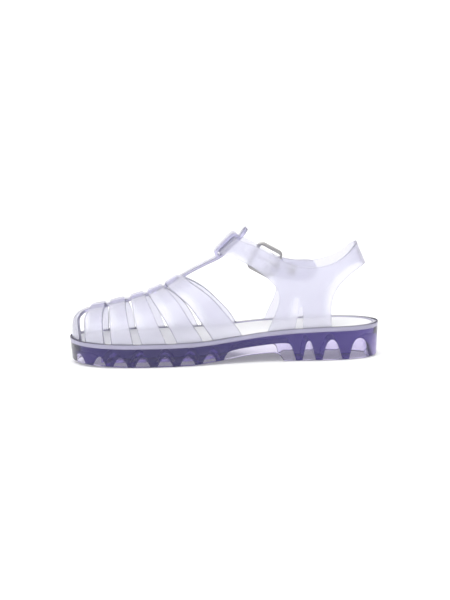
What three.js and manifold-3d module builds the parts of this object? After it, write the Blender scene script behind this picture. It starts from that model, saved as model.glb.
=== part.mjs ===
// A moulded clear sandal: a tinted outsole with cored-out ribs, a white insole, a caged front
// upper with a T-bar, a rear upper whose ankle strap runs through the T-bar's loop, and a
// centre-bar buckle. Millimetres, +Z up. It is a right shoe: the toe points to -X and the
// inner side of the foot faces -Y. Stations are measured from the toe tip along the sole.
import * as THREE from "three";
import { mergeVertices, toCreasedNormals } from "three/addons/utils/BufferGeometryUtils.js";
import Module from "manifold-3d";

const wasm = await Module();
wasm.setup();

// Driving sizes of the sole
const LENGTH = 250;
const BALL_WIDTH = 92.5;
const WAIST_WIDTH = 68;
const HEEL_WIDTH = 62;
const FOREFOOT_THICKNESS = 18.6;
const HEEL_THICKNESS = 26.9;
const TOE_SPRING = 2.6;
const TOE_RISE = 1.8;
const SIDE_DRAFT = 1.6;
const RIM_HEIGHT = 3.4;
const RIM_WIDTH = 4.8;
const RIM_LIP = 1.6;
const PLATE_THICKNESS = 7;
const SIDE_WALL = 3.2;
const KEEL_WIDTH = 22;
const ARCH_HEIGHT = 6.8;
const BREAST_STATION = 166.5;
const BREAST_RUN = 5;
const ARCH_START = 98;
const INSOLE_THICKNESS = 2.8;

// Driving sizes of the uppers
const WALL = 2.2;
const FIT_GAP = 0.3;
const SPINE_WIDTH = 12;
const TOE_STRAP_WIDTH = 44;
const LOOP_WIDTH = 17;
const PAD_RISE = 1.7;
const PAD_WIDTH = 15;
const STRAP_WIDTH = 16.6;
const LOOP_STATION = 126.7;
const LOOP_HEIGHT = 93.4;
const LOOP_ANGLE = 43.6;
const LOOP_WALL = 2.2;
const STRAP_PLAY = 0.5;
const SLOT_LENGTH = 20.2;
const ANKLE_STATION = 190;
const ANKLE_HALF_WIDTH = 25.5;
const HEEL_STRAP_STATION = 236.6;
const HEEL_STRAP_HEIGHT = 84.3;
const HEEL_STRAP_LEAN = 0.4;
const LAST_FULLNESS = 2.3;

const POINTS_ROUND = 80;

// Small tools

const smooth = (from, to, value) => {
  const t = Math.min(1, Math.max(0, (value - from) / (to - from)));
  return t * t * (3 - 2 * t);
};

const mix = (a, b, t) => a + (b - a) * t;

// A smooth curve y(x) through a table of points, by a monotone cubic
const curveThrough = (rows) => {
  const n = rows.length;
  const slope = rows.slice(1).map((p, i) => (p[1] - rows[i][1]) / (p[0] - rows[i][0]));
  const tangent = rows.map((_, i) => {
    if (i === 0) return slope[0];
    if (i === n - 1) return slope[n - 2];
    return slope[i - 1] * slope[i] <= 0 ? 0 : (2 * slope[i - 1] * slope[i]) / (slope[i - 1] + slope[i]);
  });
  return (x) => {
    if (x <= rows[0][0]) return rows[0][1] + tangent[0] * (x - rows[0][0]);
    if (x >= rows[n - 1][0]) return rows[n - 1][1] + tangent[n - 1] * (x - rows[n - 1][0]);
    const i = rows.findIndex((p) => p[0] > x) - 1;
    const h = rows[i + 1][0] - rows[i][0];
    const t = (x - rows[i][0]) / h;
    const a = (1 + 2 * t) * (1 - t) ** 2 * rows[i][1] + t * (1 - t) ** 2 * h * tangent[i];
    return a + t * t * (3 - 2 * t) * rows[i + 1][1] + t * t * (t - 1) * h * tangent[i + 1];
  };
};

// A solid for joining and cutting, from any closed geometry, faces turned outwards
const solid = (geometry) => {
  const bare = new THREE.BufferGeometry().setAttribute("position", geometry.getAttribute("position"));
  if (geometry.index) bare.setIndex(geometry.index);
  const merged = mergeVertices(bare, 1e-4);
  const faces = [];
  for (let i = 0; i < merged.index.count; i += 3) {
    const [a, b, c] = [0, 1, 2].map((k) => merged.index.getX(i + k));
    if (a !== b && b !== c && c !== a) faces.push([a, b, c]);
  }
  const made = (list) =>
    new wasm.Manifold(
      new wasm.Mesh({
        numProp: 3,
        vertProperties: new Float32Array(merged.attributes.position.array),
        triVerts: new Uint32Array(list.flat()),
      }),
    );
  const first = made(faces);
  return first.volume() < 0 ? made(faces.map(([a, b, c]) => [a, c, b])) : first;
};

// Closed loops of equal length, joined in order; each end is closed by rungs across its loop
const loft = (loops) => {
  const m = loops[0].length;
  const position = loops.flat().flatMap((p) => [p.x, p.y, p.z]);
  const index = [];
  for (let i = 0; i + 1 < loops.length; i++)
    for (let j = 0; j < m; j++) {
      const [a, b] = [i * m + j, i * m + ((j + 1) % m)];
      index.push(a, b, a + m, b, b + m, a + m);
    }
  const cap = (start, flip) => {
    const add = (a, b, c) => index.push(...(flip ? [a, c, b] : [a, b, c]));
    for (let j = 0; j < m / 2; j++) {
      const [a, b, c, d] = [j, j + 1, m - j - 1, (m - j) % m].map((k) => start + k);
      add(a, c, b);
      add(a, d, c);
    }
  };
  cap(0, false);
  cap((loops.length - 1) * m, true);
  const geometry = new THREE.BufferGeometry();
  geometry.setAttribute("position", new THREE.Float32BufferAttribute(position, 3));
  geometry.setIndex(index);
  return solid(geometry);
};

const shapeOf = (points) => new THREE.Shape(points.map(([u, v]) => new THREE.Vector2(u, v)));

// A prism along Y whose outline is drawn in side view as [station, height] pairs
const sidePrism = (points, yFrom, yTo) => {
  const geometry = new THREE.ExtrudeGeometry(shapeOf(points), { depth: yTo - yFrom, bevelEnabled: false });
  geometry.rotateX(Math.PI / 2);
  geometry.translate(0, yTo, 0);
  return solid(geometry);
};

// A prism along Z from a plan outline of [station, y] pairs
const planPrism = (points, zFrom, zTo) => {
  const geometry = new THREE.ExtrudeGeometry(shapeOf(points), { depth: zTo - zFrom, bevelEnabled: false });
  geometry.translate(0, 0, zFrom);
  return solid(geometry);
};

// A prism along X from a front outline of [y, height] pairs
const frontPrism = (points, xFrom, xTo) => {
  const geometry = new THREE.ExtrudeGeometry(shapeOf(points), { depth: xTo - xFrom, bevelEnabled: false });
  geometry.applyMatrix4(new THREE.Matrix4().set(0, 0, 1, xFrom, 1, 0, 0, 0, 0, 1, 0, 0, 0, 0, 0, 1));
  return solid(geometry);
};

const splineThrough = (points, steps) =>
  new THREE.SplineCurve(points.map(([u, v]) => new THREE.Vector2(u, v)))
    .getPoints(steps)
    .map((p) => [p.x, p.y]);

const join = (solids) => solids.reduce((a, b) => a.add(b));

// The sole's outline: shares of the length, and of half of the width named in each row
const OUTLINE = [
  { along: 0.018, width: BALL_WIDTH, inner: 0.47, outer: 0.36 },
  { along: 0.06, width: BALL_WIDTH, inner: 0.74, outer: 0.63 },
  { along: 0.14, width: BALL_WIDTH, inner: 0.92, outer: 0.87 },
  { along: 0.24, width: BALL_WIDTH, inner: 0.99, outer: 0.98 },
  { along: 0.33, width: BALL_WIDTH, inner: 0.97, outer: 1.02 },
  { along: 0.42, width: BALL_WIDTH, inner: 0.88, outer: 1.0 },
  { along: 0.52, width: WAIST_WIDTH, inner: 1.02, outer: 1.25 },
  { along: 0.62, width: WAIST_WIDTH, inner: 0.91, outer: 1.11 },
  { along: 0.72, width: HEEL_WIDTH, inner: 0.95, outer: 1.12 },
  { along: 0.82, width: HEEL_WIDTH, inner: 0.97, outer: 1.05 },
  { along: 0.9, width: HEEL_WIDTH, inner: 0.9, outer: 0.95 },
  { along: 0.96, width: HEEL_WIDTH, inner: 0.66, outer: 0.7 },
  { along: 0.99, width: HEEL_WIDTH, inner: 0.33, outer: 0.36 },
];
const TOE_TIP = [0, -0.04 * BALL_WIDTH];
const outlineCurve = new THREE.CatmullRomCurve3(
  [
    TOE_TIP,
    ...OUTLINE.map((r) => [r.along * LENGTH, (-r.inner * r.width) / 2]),
    [LENGTH, 0],
    ...OUTLINE.toReversed().map((r) => [r.along * LENGTH, (r.outer * r.width) / 2]),
  ].map(([x, y]) => new THREE.Vector3(x, y, 0)),
  true,
  "centripetal",
);

// The outline moved inwards, from the toe tip along the inner side to the heel and back
const outline = (inset, count = POINTS_ROUND) =>
  Array.from({ length: count }, (_, i) => {
    const p = outlineCurve.getPointAt(i / count);
    const t = outlineCurve.getTangentAt(i / count);
    return new THREE.Vector3(p.x - t.y * inset, p.y + t.x * inset, 0);
  });

// Where the inset outline lies at a station, on the inner (-1) or outer (1) side
const outlineSide = (inset, side) => {
  const ring = outline(inset, 2 * POINTS_ROUND);
  const tip = ring.reduce((best, p, i) => (p.x < ring[best].x ? i : best), 0);
  const ordered = [...ring.slice(tip), ...ring.slice(0, tip)];
  const back = ordered.reduce((best, p, i) => (p.x > ordered[best].x ? i : best), 0);
  const half = side < 0 ? ordered.slice(0, back + 1) : [ordered[0], ...ordered.slice(back).reverse()];
  const rows = half.filter((p, i) => i === 0 || p.x > half[i - 1].x + 1e-6);
  return (x) => {
    if (x <= rows[0].x) return rows[0].y;
    const i = rows.findIndex((p) => p.x > x);
    if (i < 0) return rows[rows.length - 1].y;
    return mix(rows[i - 1].y, rows[i].y, (x - rows[i - 1].x) / (rows[i].x - rows[i - 1].x));
  };
};
const tipOf = (inset) => outline(inset, 2 * POINTS_ROUND).reduce((a, p) => (p.x < a.x ? p : a));

// The sole's top surface rises from forefoot to heel and a little at the toe; its bottom lifts at the toe
const topRise = curveThrough([
  [0.39 * LENGTH, 0],
  [0.456 * LENGTH, 0.125],
  [0.49 * LENGTH, 0.22],
  [0.56 * LENGTH, 0.455],
  [0.63 * LENGTH, 0.69],
  [0.72 * LENGTH, 0.87],
  [0.82 * LENGTH, 1],
]);
const topAt = (x) =>
  mix(FOREFOOT_THICKNESS, HEEL_THICKNESS, Math.min(1, Math.max(0, topRise(Math.min(x, 0.82 * LENGTH))))) +
  TOE_RISE * Math.max(0, 1 - x / (0.18 * LENGTH)) ** 2;
const bottomAt = (x) => TOE_SPRING * Math.max(0, 1 - x / (0.22 * LENGTH)) ** 2;
const floorAt = (x) => topAt(x) - RIM_HEIGHT;
const plateUnderAt = (x) => floorAt(x) - PLATE_THICKNESS;

const ringAt = (inset, heightAt) => outline(inset).map((p) => p.setZ(heightAt(p.x)));

// Outsole: a drafted block, cut for the insole, the uppers' feet, the arch and the cored cells
const EDGE_ROUND = 1.5;
const VAMP_FOOT_END = 0.565 * LENGTH;
const QUARTER_FOOT = [0.63 * LENGTH, 0.845 * LENGTH];
const FAR = 2 * LENGTH;

const RIBS = [
  { along: 0.064, top: 10.5, foot: 5 },
  { along: 0.126, top: 10.5, foot: 5 },
  { along: 0.195, top: 11, foot: 5 },
  { along: 0.266, top: 11, foot: 5 },
  { along: 0.338, top: 11, foot: 5 },
  { along: 0.41, top: 11, foot: 5 },
  { along: 0.478, top: 10, foot: 5.4 },
  { along: 0.736, top: 12, foot: 5 },
  { along: 0.8, top: 12, foot: 5 },
  { along: 0.885, top: 12.5, foot: 5 },
];

// A cell's side view: the arch-shaped space between two ribs, from under the ground to the plate
const cell = (before, after) => {
  const foot = [before.along * LENGTH + before.foot / 2, after.along * LENGTH - after.foot / 2];
  const top = [before.along * LENGTH + before.top / 2, after.along * LENGTH - after.top / 2];
  const crown = (x) => plateUnderAt(x);
  const shoulder = Math.min(3.2, 0.36 * (top[1] - top[0]));
  return [
    [foot[0], -1],
    [foot[1], -1],
    [foot[1], bottomAt(foot[1])],
    [top[1], crown(top[1]) - shoulder],
    [top[1] - shoulder, crown(top[1] - shoulder)],
    [mix(top[0], top[1], 0.5), crown(mix(top[0], top[1], 0.5))],
    [top[0] + shoulder, crown(top[0] + shoulder)],
    [top[0], crown(top[0]) - shoulder],
    [foot[0], bottomAt(foot[0])],
  ];
};

const outsoleSolid = () => {
  const block = loft([
    ringAt(SIDE_DRAFT + EDGE_ROUND, bottomAt),
    ringAt(SIDE_DRAFT + 0.3 * EDGE_ROUND, (x) => bottomAt(x) + 0.3 * EDGE_ROUND),
    ringAt(SIDE_DRAFT, (x) => bottomAt(x) + EDGE_ROUND),
    ringAt(0, (x) => topAt(x) - 0.5 * EDGE_ROUND),
    ringAt(0.4 * EDGE_ROUND, topAt),
  ]);
  const over = (x) => topAt(x) + RIM_HEIGHT;
  const recess = loft([ringAt(RIM_WIDTH, floorAt), ringAt(RIM_WIDTH, over)]);
  const wide = loft([ringAt(RIM_LIP, floorAt), ringAt(RIM_LIP, over)]);
  const feet = join([
    sidePrism([[-FAR, 0], [VAMP_FOOT_END, 0], [VAMP_FOOT_END, FAR], [-FAR, FAR]], -FAR, FAR),
    sidePrism(
      [[QUARTER_FOOT[0], 0], [QUARTER_FOOT[1], 0], [QUARTER_FOOT[1], FAR], [QUARTER_FOOT[0], FAR]],
      -FAR,
      FAR,
    ),
  ]);
  const breastFoot = BREAST_STATION + BREAST_RUN;
  const archLine = splineThrough(
    [
      [ARCH_START, 0],
      [mix(ARCH_START, BREAST_STATION, 0.35), 0.4 * ARCH_HEIGHT],
      [mix(ARCH_START, BREAST_STATION, 0.75), 0.91 * ARCH_HEIGHT],
      [BREAST_STATION - 0.6 * BREAST_RUN, ARCH_HEIGHT],
      [BREAST_STATION + 0.35 * BREAST_RUN, 0.7 * ARCH_HEIGHT],
      [breastFoot, 0],
    ],
    16,
  );
  const arch = sidePrism([...archLine, [breastFoot, -1], [ARCH_START, -1]], -FAR, FAR);
  const front = { along: 0.01, top: 9, foot: 6 };
  const back = { along: 0.975, top: 12, foot: 8 };
  const ribs = [front, ...RIBS, back];
  const cells = join(ribs.slice(1).map((rib, i) => sidePrism(cell(ribs[i], rib), -FAR, FAR)));
  // The forefoot's cells stop at a lengthwise keel, so each is a pair
  const [keelStart, keelEnd] = [0.1 * LENGTH, 0.478 * LENGTH];
  const keel = sidePrism(
    [[keelStart, -2], [keelEnd, -2], [keelEnd, FAR], [keelStart, FAR]],
    -KEEL_WIDTH / 2,
    KEEL_WIDTH / 2,
  );
  const within = loft([
    ringAt(SIDE_DRAFT + SIDE_WALL, () => -2),
    ringAt(SIDE_DRAFT + SIDE_WALL, (x) => bottomAt(x)),
    ringAt(SIDE_WALL + 0.4 * SIDE_DRAFT, (x) => topAt(x)),
  ]);
  return block
    .subtract(recess)
    .subtract(wide.intersect(feet))
    .subtract(arch)
    .subtract(cells.subtract(keel).intersect(within));
};

// Insole: a white board that fills the recess flush with the rim
const insoleSolid = () => {
  const inset = RIM_WIDTH + FIT_GAP;
  const base = (x) => floorAt(x) + FIT_GAP;
  const edge = 0.6;
  return loft([
    ringAt(inset, base),
    ringAt(inset, (x) => base(x) + INSOLE_THICKNESS - edge),
    ringAt(inset + edge, (x) => base(x) + INSOLE_THICKNESS),
  ]);
};

// The last's front: sections across the foot, from a ridge line and the sole's outline
const slopeUp = Math.tan(THREE.MathUtils.degToRad(LOOP_ANGLE));
const leanRoot = Math.hypot(1, slopeUp);
const UPPER_INSET = RIM_LIP + FIT_GAP;
// The T-bar's top under the loop, set down by the strap and its play from the loop's own line
const barDrop = (STRAP_PLAY + WALL + STRAP_PLAY) * leanRoot;
const loopLine = (x) => LOOP_HEIGHT + (x - LOOP_STATION) * slopeUp;
const RIDGE = [
  { along: 0, up: 0.354 },
  { along: 0.2328, up: 0.433 },
  { along: 0.371, up: 0.494 },
  { along: 0.4933, up: 0.56 },
  { along: 0.6038, up: 0.646 },
  { along: 0.6788, up: 0.728 },
  { along: 0.7439, up: 0.808 },
  { along: 0.8781, up: 0.947 },
];
const RIDGE_HEIGHT = 64;
const BAR_BEND = LOOP_STATION - 4.4;
const ridgeLine = curveThrough([
  ...RIDGE.map((r) => [r.along * LOOP_STATION, FOREFOOT_THICKNESS + r.up * RIDGE_HEIGHT]),
  [BAR_BEND, loopLine(BAR_BEND) - barDrop],
  [LOOP_STATION + 4, loopLine(LOOP_STATION + 4) - barDrop],
  [LOOP_STATION + 30, loopLine(LOOP_STATION + 30) - barDrop],
]);
const TOE_ROUND = 0.118 * LENGTH;
const TOE_FULLNESS = 4.6;
const BAR_END = LOOP_STATION + 17.5;

// The last's body at an offset outwards from the upper's outer face, as one solid. Its lower
// edge is vertical and stands on the recess's floor.
const TOE_STATIONS = 13;
const BODY_STATIONS = 21;
const HALF_SECTION = 8;
const lastSolid = (offset, below, beyond) => {
  const inset = UPPER_INSET - offset;
  const tip = tipOf(inset);
  const [inner, outer] = [-1, 1].map((side) => outlineSide(inset, side));
  const end = BAR_END + beyond;
  const fullAt = (x) => ridgeLine(x) - topAt(x) + offset * Math.hypot(1, ridgeLine(x + 0.5) - ridgeLine(x - 0.5));
  const ease = 2 / TOE_FULLNESS;
  const toe = Array.from({ length: TOE_STATIONS }, (_, i) => {
    const angle = ((i / TOE_STATIONS) * Math.PI) / 2;
    const x = TOE_ROUND - (TOE_ROUND - tip.x) * Math.cos(angle) ** ease;
    return { x, height: fullAt(x) * Math.sin(angle) ** ease };
  });
  const body = Array.from({ length: BODY_STATIONS + 1 }, (_, i) => {
    const x = mix(TOE_ROUND, end, i / BODY_STATIONS);
    return { x, height: fullAt(x) };
  });
  return loft(
    [...toe, ...body].map(({ x, height }, i) => sectionLoop(x, inner(x), outer(x), height, tip.y, below, i === 0)),
  );
};

// One section: from the ridge down the inner side, under, and up the outer side
const sectionLoop = (x, yInner, yOuter, height, yTip, below, pointed) => {
  const ease = 2 / LAST_FULLNESS;
  const base = topAt(x);
  const foot = floorAt(x) + FIT_GAP - below;
  const ridgeY = mix(0, yTip, smooth(TOE_ROUND, tipOf(UPPER_INSET).x, x));
  const half = (edge) =>
    Array.from({ length: HALF_SECTION + 1 }, (_, j) => {
      const a = ((j / HALF_SECTION) * Math.PI) / 2;
      const y = mix(ridgeY, pointed ? yTip : edge, Math.sin(a) ** ease);
      return new THREE.Vector3(x, y, base + height * Math.max(0, Math.cos(a)) ** ease);
    });
  const corner = (edge) => new THREE.Vector3(x, pointed ? yTip : edge, foot);
  const down = half(yInner);
  const up = half(yOuter).reverse().slice(0, -1);
  const middle = new THREE.Vector3(x, pointed ? yTip : ridgeY, foot);
  return [...down, corner(yInner), middle, corner(yOuter), ...up];
};

// The cage's five straps in side view. Each edge is five shares of the sole's length, from the
// rim up to the ridge; the outer side's straps run further back at the rim than the inner side's
// and lie lower on the instep. A pad is raised where a strap crosses the spine.
const EDGE_HEIGHTS = [0, 0.3, 0.6, 0.85, 1];
const STRAPS = [
  {
    inner: { front: [0.046, 0.045, 0.046, 0.052, 0.07], rear: [0.108, 0.105, 0.104, 0.107, 0.116] },
    outer: { front: [0.064, 0.064, 0.066, 0.07, 0.078], rear: [0.1255, 0.126, 0.1265, 0.124, 0.119] },
    pad: [0.0695, 0.1205],
  },
  {
    inner: { front: [0.131, 0.128, 0.127, 0.1275, 0.1285], rear: [0.2, 0.193, 0.1855, 0.181, 0.181] },
    outer: { front: [0.149, 0.148, 0.146, 0.141, 0.133], rear: [0.215, 0.2105, 0.2025, 0.191, 0.182] },
    pad: [0.131, 0.181],
  },
  {
    inner: { front: [0.228, 0.217, 0.208, 0.202, 0.1985], rear: [0.306, 0.289, 0.271, 0.2555, 0.244] },
    outer: { front: [0.24, 0.232, 0.2205, 0.2075, 0.199], rear: [0.312, 0.299, 0.281, 0.259, 0.244] },
    pad: [0.198, 0.243],
  },
  {
    inner: { front: [0.342, 0.322, 0.297, 0.273, 0.254], rear: [0.425, 0.397, 0.368, 0.339, 0.304] },
    outer: { front: [0.344, 0.328, 0.308, 0.281, 0.254], rear: [0.421, 0.4, 0.365, 0.322, 0.303] },
    pad: [0.254, 0.303],
  },
  {
    inner: { front: [0.458, 0.427, 0.395, 0.353, 0.314], rear: [0.552, 0.515, 0.47, 0.416, 0.366] },
    outer: { front: [0.452, 0.43, 0.393, 0.337, 0.313], rear: [0.547, 0.509, 0.455, 0.39, 0.362] },
    pad: [0.31, 0.356],
  },
];
const edgeLine = (shares) => {
  const x = shares.map((s) => s * LENGTH);
  const top = ridgeLine(x.at(-1));
  const rim = topAt(x[0]);
  return [
    [x[0], rim - FIT_GAP],
    ...splineThrough(x.map((v, i) => [v, mix(rim, top, EDGE_HEIGHTS[i])]), 11).slice(1),
    [x.at(-1), top + 12],
  ];
};
const halfPrism = (points, side) => sidePrism(points, side < 0 ? -FAR : 0, side < 0 ? 0 : FAR);

const toeStrapPrism = () => {
  const y = tipOf(UPPER_INSET).y;
  const top = ridgeLine(TOE_ROUND) + 12;
  return frontPrism(
    [
      [y - TOE_STRAP_WIDTH / 2, 0],
      [y + TOE_STRAP_WIDTH / 2, 0],
      [SPINE_WIDTH / 2 + 1, ridgeLine(0.06 * LENGTH)],
      [SPINE_WIDTH / 2, top],
      [-SPINE_WIDTH / 2, top],
      [-SPINE_WIDTH / 2 - 1, ridgeLine(0.06 * LENGTH)],
    ],
    -FAR,
    STRAPS[0].inner.front.at(-1) * LENGTH,
  );
};

// The spine and T-bar in plan: even in width, wider at the loop, with a round end
const spinePlan = () => {
  const half = SPINE_WIDTH / 2;
  const wide = LOOP_WIDTH / 2 - 1.2;
  const flare = LOOP_STATION - 14;
  const side = [
    [0.05 * LENGTH, half],
    [flare - 14, half],
    ...splineThrough([[flare - 6, half + 0.4], [flare, wide - 0.4], [flare + 6, wide]], 4),
    [BAR_END - 6, wide],
    [BAR_END - 2.4, wide - 1.6],
    [BAR_END - 0.6, 0.55 * wide],
    [BAR_END, 0.2 * wide],
  ];
  return planPrism([...side, ...side.toReversed().map(([x, y]) => [x, -y])], 0, FAR);
};

const padPrism = (strap) => {
  const [from, to] = strap.pad.map((share) => share * LENGTH);
  const ridge = (x) => ridgeLine(x);
  return sidePrism(
    [[from + 1, ridge(from) - 8], [to + 1, ridge(to) - 8], [to - 1, ridge(to) + 8], [from - 1, ridge(from) + 8]],
    -PAD_WIDTH / 2,
    PAD_WIDTH / 2,
  );
};

// The loop: a bridge on two legs that stands on the T-bar, with the strap's slot through it
const loopSolid = () => {
  const along = new THREE.Vector2(1, slopeUp).normalize();
  const out = new THREE.Vector2(-along.y, along.x);
  const at = (s, n) => [
    LOOP_STATION + along.x * s + out.x * n,
    LOOP_HEIGHT + along.y * s + out.y * n,
  ];
  const slot = SLOT_LENGTH / 2;
  const under = -(STRAP_PLAY + WALL + STRAP_PLAY) - 0.5 * WALL;
  const leg = LOOP_WALL;
  const outer = [
    at(-slot - leg, under),
    at(-slot - leg, 0.3 * LOOP_WALL),
    at(-slot + 0.2, LOOP_WALL),
    at(slot - 0.4, LOOP_WALL + 0.3),
    at(slot + leg - 0.5, 0.55 * LOOP_WALL),
    at(slot + leg, -0.4 * LOOP_WALL),
    at(slot + leg, under),
    at(slot, under),
    at(slot, 0),
    at(-slot, 0),
    at(-slot, under),
  ];
  return sidePrism(outer.reverse(), -LOOP_WIDTH / 2, LOOP_WIDTH / 2);
};

const vampSolid = () => {
  const body = lastSolid(0, 0, 0);
  const hollow = lastSolid(-WALL, RIM_HEIGHT, 12);
  const spine = spinePlan();
  const toeStrap = toeStrapPrism();
  const footEnd = VAMP_FOOT_END - FIT_GAP;
  const openings = [-1, 1].flatMap((side) => {
    const sides = STRAPS.map((strap) => (side < 0 ? strap.inner : strap.outer));
    const windows = sides
      .slice(1)
      .map((strap, i) => halfPrism([...edgeLine(sides[i].rear), ...edgeLine(strap.front).toReversed()], side));
    const first = edgeLine(sides[0].front);
    const last = edgeLine(sides.at(-1).rear);
    const ahead = halfPrism([...first, [-FAR, first.at(-1)[1]], [-FAR, first[0][1]]], side);
    const behind = halfPrism(
      [...last, [last.at(-1)[0], FAR], [FAR, FAR], [FAR, 0], [footEnd, 0], [footEnd, last[0][1]]],
      side,
    );
    return [...windows.map((w) => w.subtract(spine)), ahead.subtract(toeStrap), behind.subtract(spine)];
  });
  const pads = join(STRAPS.map(padPrism)).intersect(
    lastSolid(PAD_RISE, 0, 0).subtract(lastSolid(-0.5 * WALL, RIM_HEIGHT, 12)),
  );
  return join([body.subtract(hollow).subtract(join(openings)), pads, loopSolid()]);
};

// The rear upper's surface: ruled ribs round the ankle. Angle 0 is the front centre on the
// T-bar, half a turn is the back of the heel; side is -1 on the inner and 1 on the outer side.
const FRONT_FULLNESS = 2.8;
const BACK_FULLNESS = 2.5;
const BLEND_HEIGHT = 40;
const ankleSide = [-1, 1].map((side) => outlineSide(UPPER_INSET, side));
const anklePoint = (angle, side, z, offset) => {
  const c = Math.cos(angle);
  const front = c > 0;
  const lean = front ? 1 / slopeUp : -HEEL_STRAP_LEAN;
  const reference = front ? LOOP_HEIGHT - STRAP_PLAY * leanRoot : HEEL_STRAP_HEIGHT;
  const far = front ? ANKLE_STATION - LOOP_STATION : HEEL_STRAP_STATION - ANKLE_STATION;
  const reach = far + offset * Math.hypot(1, lean);
  const ease = 2 / (front ? FRONT_FULLNESS : BACK_FULLNESS);
  const share = Math.abs(c);
  const x =
    ANKLE_STATION + (front ? -1 : 1) * reach * share ** ease + lean * share ** 3 * (z - reference);
  const slice = side * (ANKLE_HALF_WIDTH + offset) * Math.abs(Math.sin(angle)) ** ease;
  const rim = ankleSide[side < 0 ? 0 : 1](x) + side * offset;
  return new THREE.Vector3(x, mix(rim, slice, smooth(topAt(x), topAt(x) + BLEND_HEIGHT, z)), z);
};

// The point of that surface seen at a station and height in side view
const onAnkle = (x, z, side, offset) => {
  let [low, high] = [0, Math.PI];
  for (let i = 0; i < 40; i++) {
    const middle = (low + high) / 2;
    if (anklePoint(middle, side, z, offset).x < x) low = middle;
    else high = middle;
  }
  return anklePoint(low, side, z, offset);
};

// A sheet of given outer and inner rows of points, as one closed solid
const sheet = (outerRows, innerRows) => {
  const rows = outerRows.length;
  const m = outerRows[0].length;
  const index = [];
  const quad = (a, b, c, d) => index.push(a, b, c, a, c, d);
  const inside = rows * m;
  for (let i = 0; i + 1 < rows; i++)
    for (let j = 0; j + 1 < m; j++) {
      const [a, b, c, d] = [i * m + j, i * m + j + 1, (i + 1) * m + j + 1, (i + 1) * m + j];
      quad(a, b, c, d);
      quad(inside + a, inside + d, inside + c, inside + b);
    }
  for (let j = 0; j + 1 < m; j++) {
    quad(j + 1, j, inside + j, inside + j + 1);
    const last = (rows - 1) * m + j;
    quad(last, last + 1, inside + last + 1, inside + last);
  }
  for (let i = 0; i + 1 < rows; i++) {
    quad(i * m, (i + 1) * m, inside + (i + 1) * m, inside + i * m);
    const edge = i * m + m - 1;
    quad(edge + m, edge, inside + edge, inside + edge + m);
  }
  const geometry = new THREE.BufferGeometry();
  const all = [...outerRows, ...innerRows].flat();
  geometry.setAttribute("position", new THREE.Float32BufferAttribute(all.flatMap((p) => [p.x, p.y, p.z]), 3));
  geometry.setIndex(index);
  return solid(geometry);
};

// The rear upper's outline in side view, as [station, height]: the strap's top edge, the front
// edge of the leg under it, and the rear edge of the leg up to the heel strap
const TOP_EDGE = [
  [124, 106.4], [133.4, 99.2], [139.5, 96.8], [146.5, 94.3], [155, 90.4], [165, 84.9], [174, 80.2], [182.5, 76.7],
  [190, 75.2], [199, 75], [209, 76.6], [219, 80.8], [226.5, 86.2], [233.4, 92.6], [246, 104],
];
const LOW_EDGE = [
  [115, 93.8], [121.4, 86.7], [128.5, 84.6], [138, 81.2], [147, 76.6], [155.7, 70.2], [162.5, 64],
  [167, 58.2], [168.9, 51.7], [167.8, 45.5], [164.2, 36.5], [160.6, 28.4], [158.6, 23.6],
];
const LEG_REAR = [
  [210.2, 27.2], [210.2, 38], [211.4, 48.5], [216, 58], [223, 65.2], [231, 71], [240.2, 75.6], [252, 80],
];

// Stations of the buckle along the strap, and of the strap's tail end
const EYE_STATION = 173.4;
const TAIL_STATION = 196;
const FOLD_RISE = 5;

// The outer side's strap lies lower than the inner side's where it runs through the buckle. The
// drop eases in from the loop to the buckle, mostly out again along the tail, and is gone behind it.
const OUTER_DROP = 3.4;
const DROP_RUN = 16;
const dropAt = (x, side) =>
  side < 0
    ? 0
    : OUTER_DROP *
      smooth(LOOP_STATION + 0.4 * DROP_RUN, EYE_STATION - 0.4 * DROP_RUN, x) *
      (1 - 0.85 * smooth(EYE_STATION - 0.4 * DROP_RUN, TAIL_STATION, x)) *
      (1 - smooth(TAIL_STATION, TAIL_STATION + DROP_RUN, x));
const topEdge = splineThrough(TOP_EDGE, 46);
const lowered = (points, side) => points.map(([x, z]) => [x, z - dropAt(x, side)]);

// The strap's lower edge, one strap width from its top edge
const belowTop = (points, width) =>
  points.map(([x, z], i) => {
    const [a, b] = [points[Math.max(0, i - 1)], points[Math.min(points.length - 1, i + 1)]];
    const size = Math.hypot(b[0] - a[0], b[1] - a[1]);
    return [x + ((b[1] - a[1]) / size) * width, z - ((b[0] - a[0]) / size) * width];
  });

const footLine = (from, to, clearance) =>
  Array.from({ length: 9 }, (_, i) => mix(from, to, i / 8)).map((x) => [x, floorAt(x) + clearance]);

// The slot that splits each leg: straight behind, leaning in front, round at the top
const SLOT_FRONT = 180.8;
const SLOT_REAR = 187.3;
const SLOT_TOP = 44;
const legSlot = (side) =>
  sidePrism(
    [
      [SLOT_FRONT, 0],
      [SLOT_FRONT, topAt(SLOT_FRONT)],
      [SLOT_REAR - 2.4, SLOT_TOP - 0.6],
      [SLOT_REAR - 1.7, SLOT_TOP],
      [SLOT_REAR - 0.6, SLOT_TOP],
      [SLOT_REAR, SLOT_TOP - 0.6],
      [SLOT_REAR, 0],
    ],
    side < 0 ? -FAR : 0,
    side < 0 ? 0 : FAR,
  );

const lowEdge = splineThrough(LOW_EDGE, 44);
const outerTop = lowered(topEdge, 1);
const legsAndHeel = (from) => [
  ...lowEdge.filter((p, i) => i > 10 && p[1] < from),
  ...footLine(LOW_EDGE.at(-1)[0], LEG_REAR[0][0], FIT_GAP),
  ...splineThrough(LEG_REAR, 24),
];

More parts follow.
